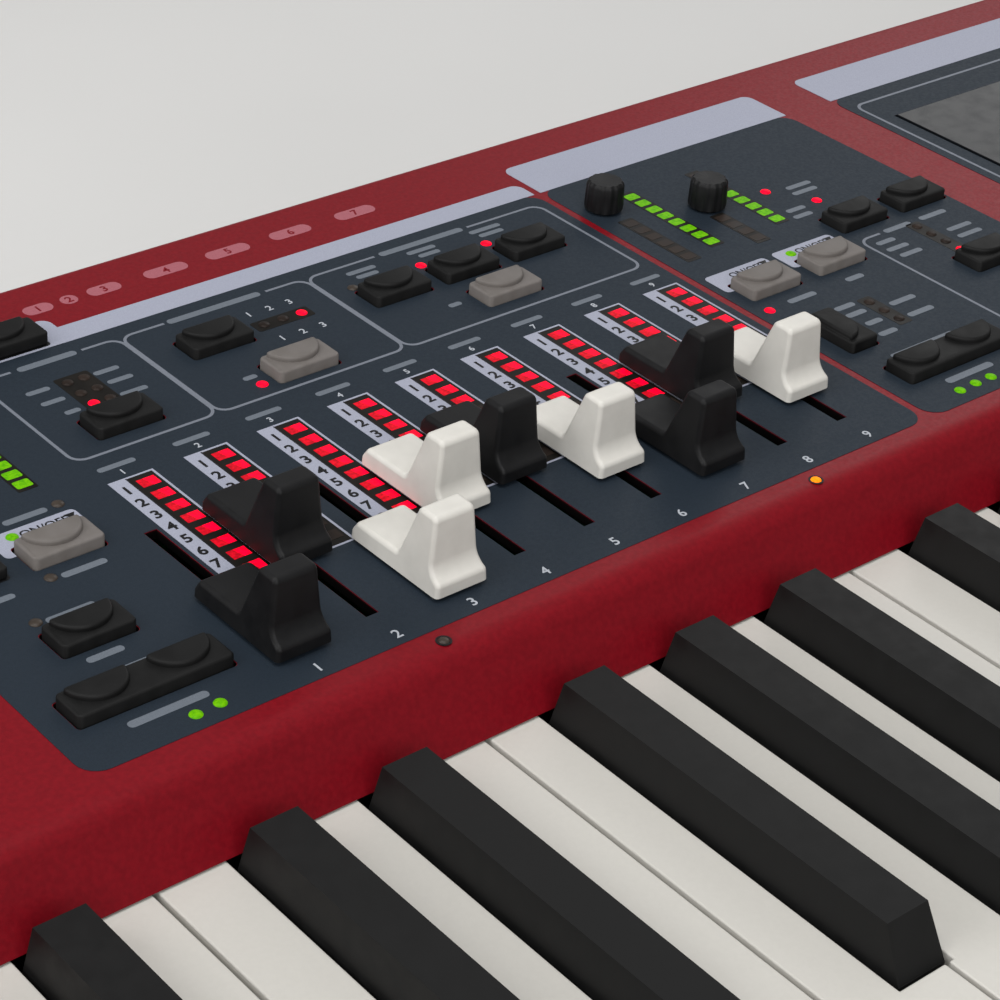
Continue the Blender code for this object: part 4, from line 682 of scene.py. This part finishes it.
def panel_cuts(grow=0.0):
    """Cutters for everything that stands through the panel; a coat's own cuts are grown a little."""
    slot = [size + 2 * grow for size in SLOT_SIZE]
    outlines = [plan_at(rectangle(x - SLOT_TO_LADDER, SLOT_Y, *slot)) for x in LADDERS]
    width, depth, wide = [size + 2 * (BUTTON_GAP + grow) for size in (*BUTTON, ROCKER_WIDTH)]
    buttons = [*ORGAN_BUTTONS.values(), *PIANO_GREY, *PIANO_BLACK, *PROGRAM_BUTTONS, *RIGHT_BUTTONS]
    holes = [(*place, width, depth) for place in buttons]
    holes += [(*ROCKER, wide, depth), (*PIANO_ROCKER, wide, depth), (*PIANO_UPRIGHT, depth, width)]
    outlines += [plan_at(rounded(rectangle(*hole), 0.9, 3)) for hole in holes]
    outlines += [circle(*at(*place).to_2d(), (3.35 + grow) * MM, 20)
                 for place in [*PIANO_KNOBS, *STATIC_KNOBS, MASTER, DIAL]]
    outlines.append(plan_at(rectangle(*DISPLAY, *[size + 0.6 for size in DISPLAY_SIZE])))
    swing = STICK_ARM * math.tan(math.radians(STICK_SWING)) + STICK_HALF
    outlines.append(rounded(rectangle(*STICK, 2 * swing * MM, 18 * MM), 2 * MM))
    chord = 2 * (math.sqrt(WHEEL_RADIUS ** 2 - AXLE_DEPTH ** 2) + 1)
    outlines.append(rounded(rectangle(*WHEEL, 13 * MM, chord * MM), 2 * MM))
    bm = bmesh.new()
    for outline in outlines:
        plan(bm, outline, PANEL_TOP - 3 * MM, PANEL_TOP + MM)
    return bm


def build_panel():
    """The folded red top, with every cut-out, and its slate coat in rounded fields."""
    slope, bend, rear_bend = 62, 6 * MM, 3 * MM
    angle = math.radians(slope)
    run = (PANEL_TOP - BAR_LOW - bend * (1 - math.cos(angle))) / math.tan(angle) + bend * math.sin(angle)
    path = [(BAR_FRONT + 5 * MM, BAR_LOW), (BAR_FRONT, BAR_LOW),
            *arc((BAR_FRONT + run, PANEL_TOP - bend), bend, 90 + slope, 90, 14),
            *arc((BACK - rear_bend, PANEL_TOP - rear_bend), rear_bend, 90, 0, 8), (BACK, PANEL_TOP - 12 * MM)]
    bm = bmesh.new()
    side(bm, folded(path, 2 * MM), PANEL_LEFT, PANEL_RIGHT)
    skin = add("panel_skin", bm, [RED, EDGE], stands_for=["top_panel"])
    cut(skin, panel_cuts())
    # The cut-outs' upright walls take the edge material and its painted shade
    for face in skin.data.polygons:
        x, y, _ = face.center
        inside = PANEL_LEFT + MM < x < PANEL_RIGHT - MM and BAR_FRONT + 10 * MM < y < BACK - 4 * MM
        if inside and abs(face.normal.z) < 0.1:
            face.material_index = 1
    shade(skin.data, 25)
    bm = bmesh.new()
    for left, right in SECTIONS:
        mark(bm, rounded_box(left, right, SLATE_NEAR, SLATE_FAR, 4.5), PANEL_TOP, INK_LOW)
    cut(ink("slate_coat", bm, SLATE_COAT), panel_cuts(COAT_GAP))


def build_stripes():
    """The light stripe behind the slate, and the thin frames printed on it."""
    bm = bmesh.new()
    near = SLATE_FAR - 0.3
    for index, (left, right) in enumerate(SECTIONS):
        mark(bm, rounded_box(left, right, near, 66 if index else STRIPE_FAR, [0, 0, 2.5, 2.5]), PANEL_TOP)
    mark(bm, rounded_box(SECTIONS[0][0], 25, near, 62.5, 2.5), PANEL_TOP, INK_HIGH + 0.02 * MM)
    ink("light_stripe", bm, PRINT)
    bm = bmesh.new()
    near, far = 10, 47
    # Each frame's left and right side, and the gap in its rear side
    frames = ((-0.8, 32.8, 7, 24), (33.3, 81.2, 44.5, 71), (81.7, 149.4, 101, 128))
    for index, (left, right, start, end) in enumerate(frames):
        path = [(start, far), (left, far), (left, near), (right, near), (right, far), (end, far)]
        stroke(bm, rounded(path, 3, closed=False), 0.7, high=INK_HIGH + 0.005 * index * MM)
    stroke(bm, rounded([(200.7, -70), (200.7, -8.6), (208, -8.6)], 3, closed=False), 0.7)
    for left, right in SECTIONS[2:]:
        stroke(bm, rounded_box(left + 3, right - 3, SLATE_NEAR + 3.5, 46, 3), 0.8, closed=True)
    ink("section_frames", bm, LINE)


def build_ladders():
    """Each drawbar's printed strip with its figures, its window with a painted shadow along its left edge,
    and its eight lights.
    """
    prints, figures, windows, lights = [bmesh.new() for _ in range(4)]
    for x, lit in zip(LADDERS, LIT):
        mark(prints, corners(x, x + 10.27, -42.2, 0))
        mark(windows, corners(x + 3.9, x + 9.7, -41.7, -0.55), high=FIGURES)
        # A thin black strip at the window's left edge: painted shadow of its recess
        mark(windows, rectangle(x + 3.85, -21.1, 0.3, 41.3), high=INK_HIGH + INK, slot=1)
        rows = [-4.1 - 5 * number for number in range(8)]
        number_off(figures, [(x + 1.8, y) for y in rows], 3.9, 0.1, FIGURES)
        for number, y in enumerate(rows):
            add_light(lights, x + 7.0, y + 0.5, number < lit)
    ink("ladder_prints", prints, PRINT)
    ink("ladder_figures", figures, BLACK_INK_AND_SHADE)
    ink("ladder_windows", windows, [WINDOW, BLACK_INK_AND_SHADE])
    ink("ladder_lights", lights, [RED_LIGHT, RED_DIM, RED_OFF])


def add_light(bm, x, y, lit):
    """A rectangular light with a bright right part and a duller left part."""
    left, right, foot, top = x - 2, x + 2, y - 1.45, y + 1.45
    split = [(left + 1.5, top), (left + 2.3, foot)]
    bright = [split[0], (right, top), (right, foot), split[1]]
    dull = [(left, top), *split, (left, foot)]
    for slot, outline in enumerate((bright, dull)):
        mark(bm, outline, FIGURES, FIGURES + INK, slot if lit else 2)


def build_labels():
    """Plain numbers, ON and OFF, and bars in place of words."""
    numbers, bars, plates, words, pills, figures = [bmesh.new() for _ in range(6)]
    number_off(numbers, [(x - 2.4, -70.6) for x in LADDERS], 3.4, 0.04)
    number_off(numbers, [(x + 4.9, 2.2) for x in LADDERS], 2.4, 0.04)
    for y in (40.4, 28.1):
        number_off(numbers, [(x, y) for x in (61.8, 67.2, 72.5)], 2.8, 0.04)
    for row in (PROGRAM_BUTTONS, RIGHT_BUTTONS):
        number_off(numbers, [(x, y + 7.2) for x, y in row], 2.6)
    for place in [*STATIC_KNOBS, MASTER]:
        dial_marks(numbers, place, 7.2)
    for height, places in WORD_BARS.items():
        for place in places:
            mark(bars, rounded(rectangle(*place, height), height * 0.45, 3))
    ink("panel_numbers", numbers, LABEL)
    ink("panel_bars", bars, MUTED)
    for x, y in (ORGAN_BUTTONS["aux_button"], *PIANO_GREY):
        mark(plates, rounded_box(x - 10.1, x + 9, y + 1.7, y + 9.8, 1.2))
        write(words, "ON/OFF", x + 1.3, y + 7.4, 2.9, FIGURES, 0.03)
        triangle = [(x + 7.3, y + 6.6), (x + 8.5, y + 8.6), (x + 6.1, y + 8.6)]
        mark(words, triangle, INK_HIGH, INK_HIGH + INK)
    cut(ink("switch_plates", plates, PRINT), panel_cuts(COAT_GAP))
    ink("switch_words", words, BLACK_INK_AND_SHADE)
    row = 67.3
    for x, width in REAR_PILLS:
        mark(pills, rounded(rectangle(x, row, width, 3.8), 1.8, 5), PANEL_TOP, PANEL_TOP + INK)
    number_off(figures, [(x, row) for x, _ in REAR_PILLS], 3.2, 0.05, PANEL_TOP + INK * 1.5)
    ink("rear_pills", pills, PINK_INK)
    ink("rear_pill_numbers", figures, RED)


def dial_marks(bm, place, radius):
    """Eleven short lines round a knob."""
    for step in range(11):
        turn = math.radians(240 - 30 * step)
        stroke(bm, [around(*place, reach, [turn])[0] for reach in (radius, radius + 1.6)], 0.4)


def build_round_lights():
    """Small round lights beside the buttons, and the light ladders beside the knobs."""
    for name, (finish, places) in ROUND_LIGHTS.items():
        bm = bmesh.new()
        for place in places:
            dome(bm, (*at(*place).to_2d(), INK_LOW), 1.3 * MM, 0.5 * MM)
        add(f"round_lights_{name}", bm, finish, smooth=60)
    lamps, rims, ladders, windows = [bmesh.new() for _ in range(4)]
    for slot, place in enumerate(((115.9, -77), (20.7, -77))):
        dome(lamps, at(*place), 1.1 * MM, 0.5 * MM, slot)
        stroke(rims, circle(*place, 1.35, 24), 0.4, PANEL_TOP, PANEL_TOP + 2 * INK, closed=True)
    add("split_lights", lamps, [AMBER_LIGHT, BROWN_OFF], smooth=60)
    add("split_light_rims", rims, BLACK_INK_AND_SHADE)
    for spot in LIGHT_WINDOWS:
        mark(windows, rounded_box(*spot, 0.6, 3))
    pitch = 3.9
    for x, foot, count, lit in LIGHT_LADDERS:
        mark(windows, rounded_box(x - 2.2, x + 2.2, foot - 0.4, foot + pitch * count + 0.4, 0.4, 3))
        for step in range(count):
            outline = rounded(rectangle(x, foot + pitch * (step + 0.5), 3.5, 2.7), 0.4, 2)
            mark(ladders, outline, INK_HIGH, INK_HIGH + INK, 0 if step < lit else 1)
    add("light_ladders", ladders, [GREEN_LIGHT, RED_OFF])
    add("light_windows", windows, WINDOW)


# Drawbar caps

def cap_mesh(name, material):
    """A cap that tapers upwards, lofted across its width so that its long edges are full and soft.

    Seen from its left it has a front lip, a hollow front, a top, a steep rear and a flat nose.
    """
    outline = ((0, 1), (0, 3.7), (2.7, 5), (3.1, 16.3), (8.2, 16.3), (12.3, 4.8), (24.5, 4.7), (25.9, 2.6),
               (25.9, 1))
    outline = [Vector(point) for point in rounded(outline, [0, 1.2, 3.6, 1.3, 1.3, 1, 1.2, 1, 0])]
    count = len(outline)
    foot_width, top_width, foot, height, edge = 12.3, 9.3, 1, 15.3, 0.95
    slope = (foot_width - top_width) / 2 / height
    inward = [outline[(index + 1) % count] - outline[index - 1] for index in range(count)]
    inward = [Vector((run.y, -run.x)).normalized() for run in inward]
    inward[0] = Vector((1, 0))
    inward[-1] = Vector((-1, 0))
    turns = [math.radians(22.5 * step) for step in range(5)]
    bm = bmesh.new()
    rings = []
    for hand, turn in [(-1, turn) for turn in turns] + [(1, turn) for turn in reversed(turns)]:
        ring = []
        for point, normal in zip(outline, inward):
            back, up = point + normal * edge * (1 - math.sin(turn))
            half = foot_width / 2 - slope * (up - foot) - edge * (1 - math.cos(turn))
            ring.append(bm.verts.new((hand * half * MM, back * MM, up * MM)))
        rings.append(ring)
    bridge(bm, rings)
    cap = add(name, bm, material, smooth=50)
    weighted = cap.modifiers.new("weighted", "WEIGHTED_NORMAL")
    weighted.keep_sharp = True
    weighted.weight = 100
    return take(settle(cap))


def build_caps():
    white = cap_mesh("white_cap", WHITE_CAP)
    black = cap_mesh("black_cap", BLACK_CAP)
    for number in range(1, 10):
        name = f"drawbar_{number}"
        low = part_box(name)[0]
        x, y = centre(name)[0], low.y
        mesh, slot = (white, "white_cap") if number in WHITE_CAPS else (black, "black_cap")
        place_mesh(f"drawbar_cap_{number}", mesh, name, [name], where=(x, y, PANEL_TOP))
        bm = bmesh.new()
        side(bm, corners(y + 4.6 * MM, y + 9 * MM, low.z, PANEL_TOP + 2.5 * MM), x - MM, x + MM)
        add(f"drawbar_stem_{number}", bm, BLACK_PLASTIC, name)


# Buttons and knobs

def button_mesh(name, material, size=BUTTON, pads=(0.0,), rise=BUTTON_RISE, sunk=6):
    """A rubber key with its raised thumb pad, straight behind and curved in front."""
    width, depth = size
    rim = rise * MM
    bm = bmesh.new()
    plan(bm, rounded(rectangle(0, 0, width * MM, depth * MM), 1 * MM, 4), -sunk * MM, rim)
    key = soften(add(name, bm, material), 0.5 * MM, 3, 60)
    bm = bmesh.new()
    half, reach, rear = 6.2, 6.1, depth / 2 - 0.55
    turns = [math.pi + math.pi * step / 20 for step in range(21)]
    for middle in pads:
        outline = [(middle + half * math.cos(turn), rear + reach * math.sin(turn)) for turn in turns]
        plan(bm, scaled(outline), rim - 1.4 * MM, rim + 1.1 * MM)
    joined = bmesh.new()
    joined.from_mesh(take(soften(add(name + "_pad", bm, material), 0.6 * MM, 3, 60)))
    cut(key, joined, "UNION")
    shade(key.data, 38)
    return take(key)


def build_buttons():
    grey = button_mesh("grey_key", GREY_RUBBER)
    black = button_mesh("black_key_cap", BLACK_RUBBER)
    for name, place in ORGAN_BUTTONS.items():
        cover(name, *((grey, "grey_rubber") if name in GREY_BUTTONS else (black, "black_rubber")), place)
    rocker = button_mesh("rocker_key", BLACK_RUBBER, (ROCKER_WIDTH, BUTTON[1]), (-8.3, 8.3))
    cover("octave_rocker", rocker, "black_rubber", ROCKER)
    build_mat(grey, black, rocker)
    resting = button_mesh("left_key", BLACK_RUBBER, sunk=0)
    lay("left_key_cap", resting, LEFT_KEY, 0.1)
    long_key = button_mesh("rear_key", BLACK_RUBBER, REAR_KEY_SIZE, (2.6,), 3, 0)
    lay("rear_key_cap", long_key, REAR_KEY, 0.17)
    # Dark outlines round the two keys that rest on the panel without a hole: painted shadow round their feet
    painted_shadows = bmesh.new()
    mark(painted_shadows, rounded(rectangle(*LEFT_KEY, 15.9, 8.9), 0.9, 3), INK_LOW, INK_LOW + INK / 2)
    mark(painted_shadows, rounded(rectangle(*REAR_KEY, 22.7, 9.1), 0.9, 3), INK_HIGH, INK_HIGH + INK)
    add("key_painted_shadows", painted_shadows, BLACK_INK_AND_SHADE)


def build_mat(grey, black, rocker):
    """The rubber mat under the sections right of the organ, and its moulded keys."""
    low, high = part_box("keypad_mat")
    strip = low.y + (BUTTON[1] + 2) * MM
    program_left, program_rear = at(253.4, FRONT_ROW + ROW_PITCH + BUTTON[1] / 2 + 1).to_2d()
    program_right = at(403.6, 0).x
    piano_right = at(237.5, 0).x
    outline = [(low.x, low.y), (high.x, low.y), (high.x, strip), (program_right, strip),
               (program_right, program_rear), (program_left, program_rear), (program_left, strip),
               (piano_right, strip), (piano_right, high.y), (low.x, high.y)]
    bm = bmesh.new()
    plan(bm, outline, low.z, low.z + 1.2 * MM)
    add("keypad_sheet", bm, BLACK_RUBBER, stands_for=["keypad_mat"])
    for index, place in enumerate(PIANO_GREY):
        lay(f"piano_grey_key_{index + 1}", grey, place)
    for index, place in enumerate([*PIANO_BLACK, *PROGRAM_BUTTONS, *RIGHT_BUTTONS]):
        lay(f"mat_key_{index + 1}", black, place)
    lay("piano_rocker_key", rocker, PIANO_ROCKER)
    upright = black.copy()
    upright.transform(Matrix.Rotation(math.pi / 2, 4, "Z"))
    lay("piano_upright_key", upright, PIANO_UPRIGHT)


def knob_mesh(name, radius, height, pointer, count):
    """A ribbed knob with a turned top and, where it shows a value, a white line; sizes in millimetres."""
    low = 0.8
    top = low + height
    bm = bmesh.new()
    profile = [(radius * 0.97, low), (radius, low + 0.6), (radius * 0.98, low + height * 0.55),
               (radius * 0.965, top - 1), (radius * 0.91, top - 0.35), (radius * 0.82, top),
               (radius * 0.3, top - 0.1)]
    lathe(bm, scaled(profile), (0, 0), count * 8, count, 0.25 * MM, (low + 0.5) * MM)
    lathe(bm, scaled([(3, -2), (3, low + 1)]), (0, 0), 24)
    if pointer:
        line = scaled(rectangle(0, radius * 0.62, 0.9, radius * 0.6))
        plan(bm, line, (top - 0.3) * MM, (top + 0.12) * MM, 1)
    return take(add(name, bm, [BLACK_PLASTIC, LABEL], smooth=35))


def scaled(points):
    """Points in millimetres, in metres."""
    return [(x * MM, y * MM) for x, y in points]


def build_knobs():
    plain = knob_mesh("plain_knob", 4.65, 6.9, False, 14)
    pointed = knob_mesh("pointed_knob", 4.65, 6.8, True, 14)
    sleeved = knob_mesh("sleeved_knob", 5.3, 8.2, True, 16)
    wide = knob_mesh("wide_knob", 13.7, 10.9, False, 36)
    for index, place in enumerate(PIANO_KNOBS):
        cover(f"piano_knob_{index + 1}", plain, "black_plastic", place)
    cover("master_knob", pointed, "black_plastic", MASTER)
    cover("program_dial", wide, "black_plastic", DIAL)
    for index, place in enumerate(STATIC_KNOBS):
        lay(f"board_knob_{index + 1}", sleeved, place)


# Keys

def seam_x(note):
    return KEYS_LEFT + WHITES.index(note) * WHITE_PITCH


def black_x(note):
    """The middle of a black key, on the octave's twelve equal slots."""
    octave = KEYS_LEFT - 2 * WHITE_PITCH + (note // 12 - FIRST_NOTE // 12) * OCTAVE
    return octave + (note % 12 + 0.5) * SEMITONE


def key_body(note):
    if note in FREE_KEYS:
        return f"key_{KEY_NAMES[note % 12]}{note // 12 - 1}"
    if note < FREE_KEYS[0]:
        return "keys_low"
    return "keys_middle" if note in MIDDLE_KEYS else "keys_high"


def white_mesh(note):
    """A white key with its rounded front edge, its face and its cut-outs beside the black keys."""
    left = seam_x(note)
    edge = arc((KEY_FRONT + 1.5 * MM, WHITE_TOP - 1.5 * MM), 1.5 * MM, 180, 90, 5)
    step = BAR_FRONT + 5 * MM
    wall = KEY_FRONT + 5 * MM
    outline = [(KEY_FRONT, WHITE_FOOT), *edge, (step, WHITE_TOP), (step, KEY_SHANK), (KEY_REAR, KEY_SHANK),
               (KEY_REAR, KEY_UNDER), (wall, KEY_UNDER), (wall, WHITE_FOOT)]
    bm = bmesh.new()
    side(bm, outline, left + 0.5 * MM, left + WHITE_PITCH - 0.5 * MM)
    key = add("white_key", bm, WHITE_KEY)
    gap = 0.9 * MM
    half = BLACK_HALF + gap
    bm = bmesh.new()
    for near in (note - 1, note + 1):
        if near % 12 not in WHITE_CLASSES and FIRST_NOTE <= near <= LAST_NOTE:
            x = black_x(near)
            hole = corners(x - half, x + half, BLACK_FRONT - gap, KEY_REAR + MM)
            plan(bm, hole, WHITE_FOOT - MM, WHITE_TOP + MM)
    if len(bm.verts):
        cut(key, bm)
    mesh = take(soften(key, 0.4 * MM, 2, 40))
    mesh.transform(Matrix.Translation((-left, 0, 0)))
    return mesh


def black_mesh():
    """A black key round X = 0: straight body, tapered cap, flat matt top."""
    near, far = BLACK_FRONT, BLACK_FRONT + 86 * MM
    shoulder = WHITE_TOP - MM
    levels = [(shoulder, BLACK_HALF, near, far), (BLACK_TOP, 4.85 * MM, near + 5 * MM, far - 2.2 * MM)]
    bm = bmesh.new()
    bridge(bm, [[bm.verts.new((x, y, z)) for x, y in corners(-half, half, start, end)]
                for z, half, start, end in levels])
    key = add("black_key", bm, BLACK_KEY)
    overlap = shoulder + 0.2 * MM
    body = bmesh.new()
    side(body, [(near, KEY_UNDER), (near, overlap), (far, overlap), (far, KEY_SHANK), (KEY_REAR, KEY_SHANK),
                (KEY_REAR, KEY_UNDER)], -BLACK_HALF, BLACK_HALF)
    cut(key, body, "UNION")
    return take(soften(key, 0.45 * MM, 3, 30))


def build_keys():
    black = black_mesh()
    whites = {}
    for note in range(FIRST_NOTE, LAST_NOTE + 1):
        body = key_body(note)
        mesh, slot, x = black, "black_key", black_x(note)
        if note % 12 in WHITE_CLASSES:
            kind = (note % 12, note == FIRST_NOTE)
            if kind not in whites:
                whites[kind] = white_mesh(note)
            mesh, slot, x = whites[kind], "white_key", seam_x(note)
        place_mesh(f"note_{KEY_NAMES[note % 12]}{note // 12 - 1}", mesh, body, [body], where=(x, 0, 0))


# Case, levers and rear sockets

def refined(node, name, material, width, segments=3, angle=30):
    """A copy of a CAD solid whose flat faces are joined and whose edges are rounded, by millimetres."""
    solid = frame["nodes"][node].data
    bm = bmesh.new()
    bm.from_mesh(solid)
    bmesh.ops.remove_doubles(bm, verts=bm.verts, dist=0.01 * MM)
    bmesh.ops.dissolve_limit(bm, angle_limit=math.radians(1), verts=bm.verts, edges=bm.edges)
    bmesh.ops.recalc_face_normals(bm, faces=bm.faces)
    made = add(name, bm, material, node_body(node), [node])
    if width:
        soften(made, width * MM, segments, angle)


def node_body(node):
    bodies = frame["record"]["behaviour"]["bodies"]
    return next((body for body, members in bodies.items() if node in members), "root")


def build_case():
    for hand in ("left", "right"):
        refined(f"{hand}_cheek", f"{hand}_end", MOULDING, 1.6, 4, 25)
    refined("front_rail", "front_slip", RED, 0)
    refined("bottom_pan", "floor_pan", STEEL, 0.4, 2)
    refined("rear_panel", "rear_plate", STEEL, 0)
    refined("audio_jacks", "jack_row", BLACK_PLASTIC, 0)
    refined("data_sockets", "data_row", BLACK_PLASTIC, 0)
    refined("mains_inlet", "inlet_shell", BLACK_PLASTIC, 0.2, 2)
    refined("power_switch", "switch_rocker", BLACK_PLASTIC, 0.4)
    refined("pitch_stick", "stick_paddle", BLACK_PLASTIC, 0.5)
    refined("mod_wheel", "wheel_disc", BLACK_PLASTIC, 0.3, 2)
    for number in range(1, 5):
        foot = f"foot_{number}"
        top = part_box(foot)[1].z / MM
        profile = [(11.5, 0), (12.6, 0), (13.4, 0.8), (14.2, 4), (15, 6.4), (15, top), (4, top)]
        bm = bmesh.new()
        lathe(bm, scaled(profile), centre(foot)[:2])
        add(f"rubber_foot_{number}", bm, FOOT_RUBBER, stands_for=[foot], smooth=30)
    low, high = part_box("program_display")
    bm = bmesh.new()
    plan(bm, corners(low.x, high.x, low.y, high.y), low.z, high.z - 0.1 * MM)
    window = add("display_screen", bm, GLASS, stands_for=["program_display"])
    soften(window, 0.4 * MM, 2)


# The rear panel's sockets, in millimetres
JACKS = [60 + 24 * index for index in range(6)]
ROUND_SOCKETS = [-150, -126]
SQUARE_SOCKET = -104


def collar(bm, x, inner, outer, near, far, count=32):
    """A ring or, with few sides, a nut, round a socket's axis; radii in millimetres."""
    turns = [math.tau * step / count for step in range(count)]
    bridge(bm, [[bm.verts.new((across, y, up)) for across, up in around(x * MM, SOCKET_Z, radius * MM, turns)]
                for radius, y in ((outer, near), (outer, far), (inner, far), (inner, near))], loop=True)


def screw_mesh():
    """A domed screw head with a cross recess, standing on Z = 0."""
    bm = bmesh.new()
    lathe(bm, scaled([(3.1, -0.2), (3.1, 0.3), (2.6, 0.8), (1.4, 1.2), (0.4, 1.3)]), (0, 0), 28)
    head = add("screw_head", bm, NICKEL, smooth=35)
    cross = bmesh.new()
    arm, half = 1.5, 0.32
    outline = []
    quarter = [(half, half), (half, arm), (-half, arm)]
    for _ in range(4):
        outline += quarter
        quarter = [(-y, x) for x, y in quarter]
    plan(cross, scaled(outline), 0.5 * MM, 2 * MM)
    return take(cut(head, cross))


def build_rear_details():
    """Nuts, screws, socket inserts and plain numbers on the rear panel and under the pan."""
    socket_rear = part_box("data_sockets")[1].y
    bm = bmesh.new()
    for x in JACKS:
        collar(bm, x, 5.45, 8.2, REAR_FACE, REAR_FACE + 0.4 * MM)
        collar(bm, x, 5.45, 7.4, REAR_FACE + 0.4 * MM, BACK - 0.5 * MM, 6)
    for x in ROUND_SOCKETS:
        collar(bm, x, 7.1, 7.55, socket_rear - 9 * MM, socket_rear - 0.3 * MM, 40)
    add("socket_fittings", bm, NICKEL)
    bm, holes = bmesh.new(), bmesh.new()
    for x in ROUND_SOCKETS:
        front(bm, circle(x * MM, SOCKET_Z, 7.05 * MM, 36), socket_rear - 8 * MM, socket_rear - 2 * MM)
        for pin in around(x * MM, SOCKET_Z, 3.6 * MM, [math.radians(45 * step) for step in range(5)]):
            front(holes, circle(*pin, 0.85 * MM, 14), socket_rear - 6 * MM, socket_rear)
    insert = rectangle(SQUARE_SOCKET * MM, SOCKET_Z, 5.6 * MM, 3.2 * MM)
    front(bm, insert, socket_rear - 8 * MM, socket_rear - 1.5 * MM)
    cut(add("socket_inserts", bm, BLACK_PLASTIC), holes)
    screw = screw_mesh()
    outward = Matrix.Rotation(-math.pi / 2, 4, "X")
    down = Matrix.Rotation(math.pi, 4, "X")
    spots = [(170 * column * MM, height * MM) for column in range(-3, 4) for height in (16, 84)]
    spots += [(centre("mains_inlet")[0] + reach * MM, SOCKET_Z) for reach in (-19, 19)]
    gather("rear_screws", screw, [Matrix.Translation((x, REAR_FACE, z)) @ outward for x, z in spots])
    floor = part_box("bottom_pan")[0].z
    gather("pan_screws", screw, [Matrix.Translation((200 * column * MM, y * MM, floor)) @ down
                                 for column in (-2.4, -1.2, 0, 1.2, 2.4) for y in (-140, -50, 50, 135)])
    facing = Matrix(((-1, 0, 0, 0), (0, 0, 1, 0), (0, 1, 0, 0), (0, 0, 0, 1)))
    switch = centre("power_switch")[0]
    texts = [("I", switch + 15 * MM, SOCKET_Z), ("O", switch - 15 * MM, SOCKET_Z)]
    for places, drop in ((JACKS, 13), ([*ROUND_SOCKETS, SQUARE_SOCKET], 14)):
        texts += [(str(index + 1), x * MM, SOCKET_Z - drop * MM) for index, x in enumerate(places)]
    numbers = bmesh.new()
    for label, x, z in texts:
        write_on(numbers, label, 4.2, Matrix.Translation((x, REAR_FACE + INK / 2, z)) @ facing, 0.04)
    add("rear_numbers", numbers, LABEL)


def gather(name, mesh, places):
    """One piece made of copies of a mesh."""
    bm = bmesh.new()
    for place in places:
        turned = mesh.copy()
        turned.transform(place)
        bm.from_mesh(turned)
        bpy.data.meshes.remove(turned)
    add(name, bm, NICKEL, smooth=35)


def dress_nodes():
    """Give the CAD pieces that stay their own finishes."""
    finishes = {"key_frame": ZINC, "key_felt": FELT, "wheel_box": BLACK_PLASTIC}
    for node in ("contact_strip", "fader_bank", "control_board", "main_board", "power_supply"):
        finishes[node] = BOARD
    for node, material in finishes.items():
        for slot in frame["nodes"][node].material_slots:
            slot.material = material


# Studio

def build_stage():
    bm = bmesh.new()
    plan(bm, rectangle(0, 0, 12, 12), -0.01, 0)
    mesh = to_mesh("floor", bm)
    floor = Surface("studio_floor", 0.8)
    floor.colours(floor.noise(3, 3), "d9d8d6", "dedddb")
    mesh.materials.append(floor.material)
    link("floor", mesh)


def add_lamp(name, place, target, size, power):
    data = bpy.data.lights.new(name, "AREA")
    data.shape = "RECTANGLE"
    data.size, data.size_y = size
    data.energy = power
    lamp = link(name, data)
    lamp.location = place
    lamp.rotation_euler = (Vector(target) - Vector(place)).to_track_quat("-Z", "Y").to_euler()


def build_light():
    world = bpy.data.worlds.new("studio")
    world.use_nodes = True
    background = world.node_tree.nodes["Background"]
    background.inputs["Color"].default_value = (1, 1, 1, 1)
    background.inputs["Strength"].default_value = 0.3
    bpy.context.scene.world = world
    add_lamp("softbox", (-0.6, -0.1, 1.5), (-0.25, 0, 0.1), (1.4, 1.0), 13)
    add_lamp("front_fill", (-1.0, -1.5, 1.0), (-0.2, 0, 0.1), (1.4, 1.0), 14)
    add_lamp("left_fill", (-1.6, 0.3, 0.9), (-0.2, 0, 0.1), (1.0, 1.0), 9)
    add_lamp("right_rim", (1.2, 0.8, 1.0), (0, 0, 0.1), (1.0, 0.8), 4)


make_camera()
build_panel()
build_stripes()
build_ladders()
build_labels()
build_round_lights()
build_caps()
build_buttons()
build_knobs()
build_keys()
build_case()
build_rear_details()
dress_nodes()
build_stage()
build_light()
bpy.context.scene.view_settings.view_transform = "Standard"
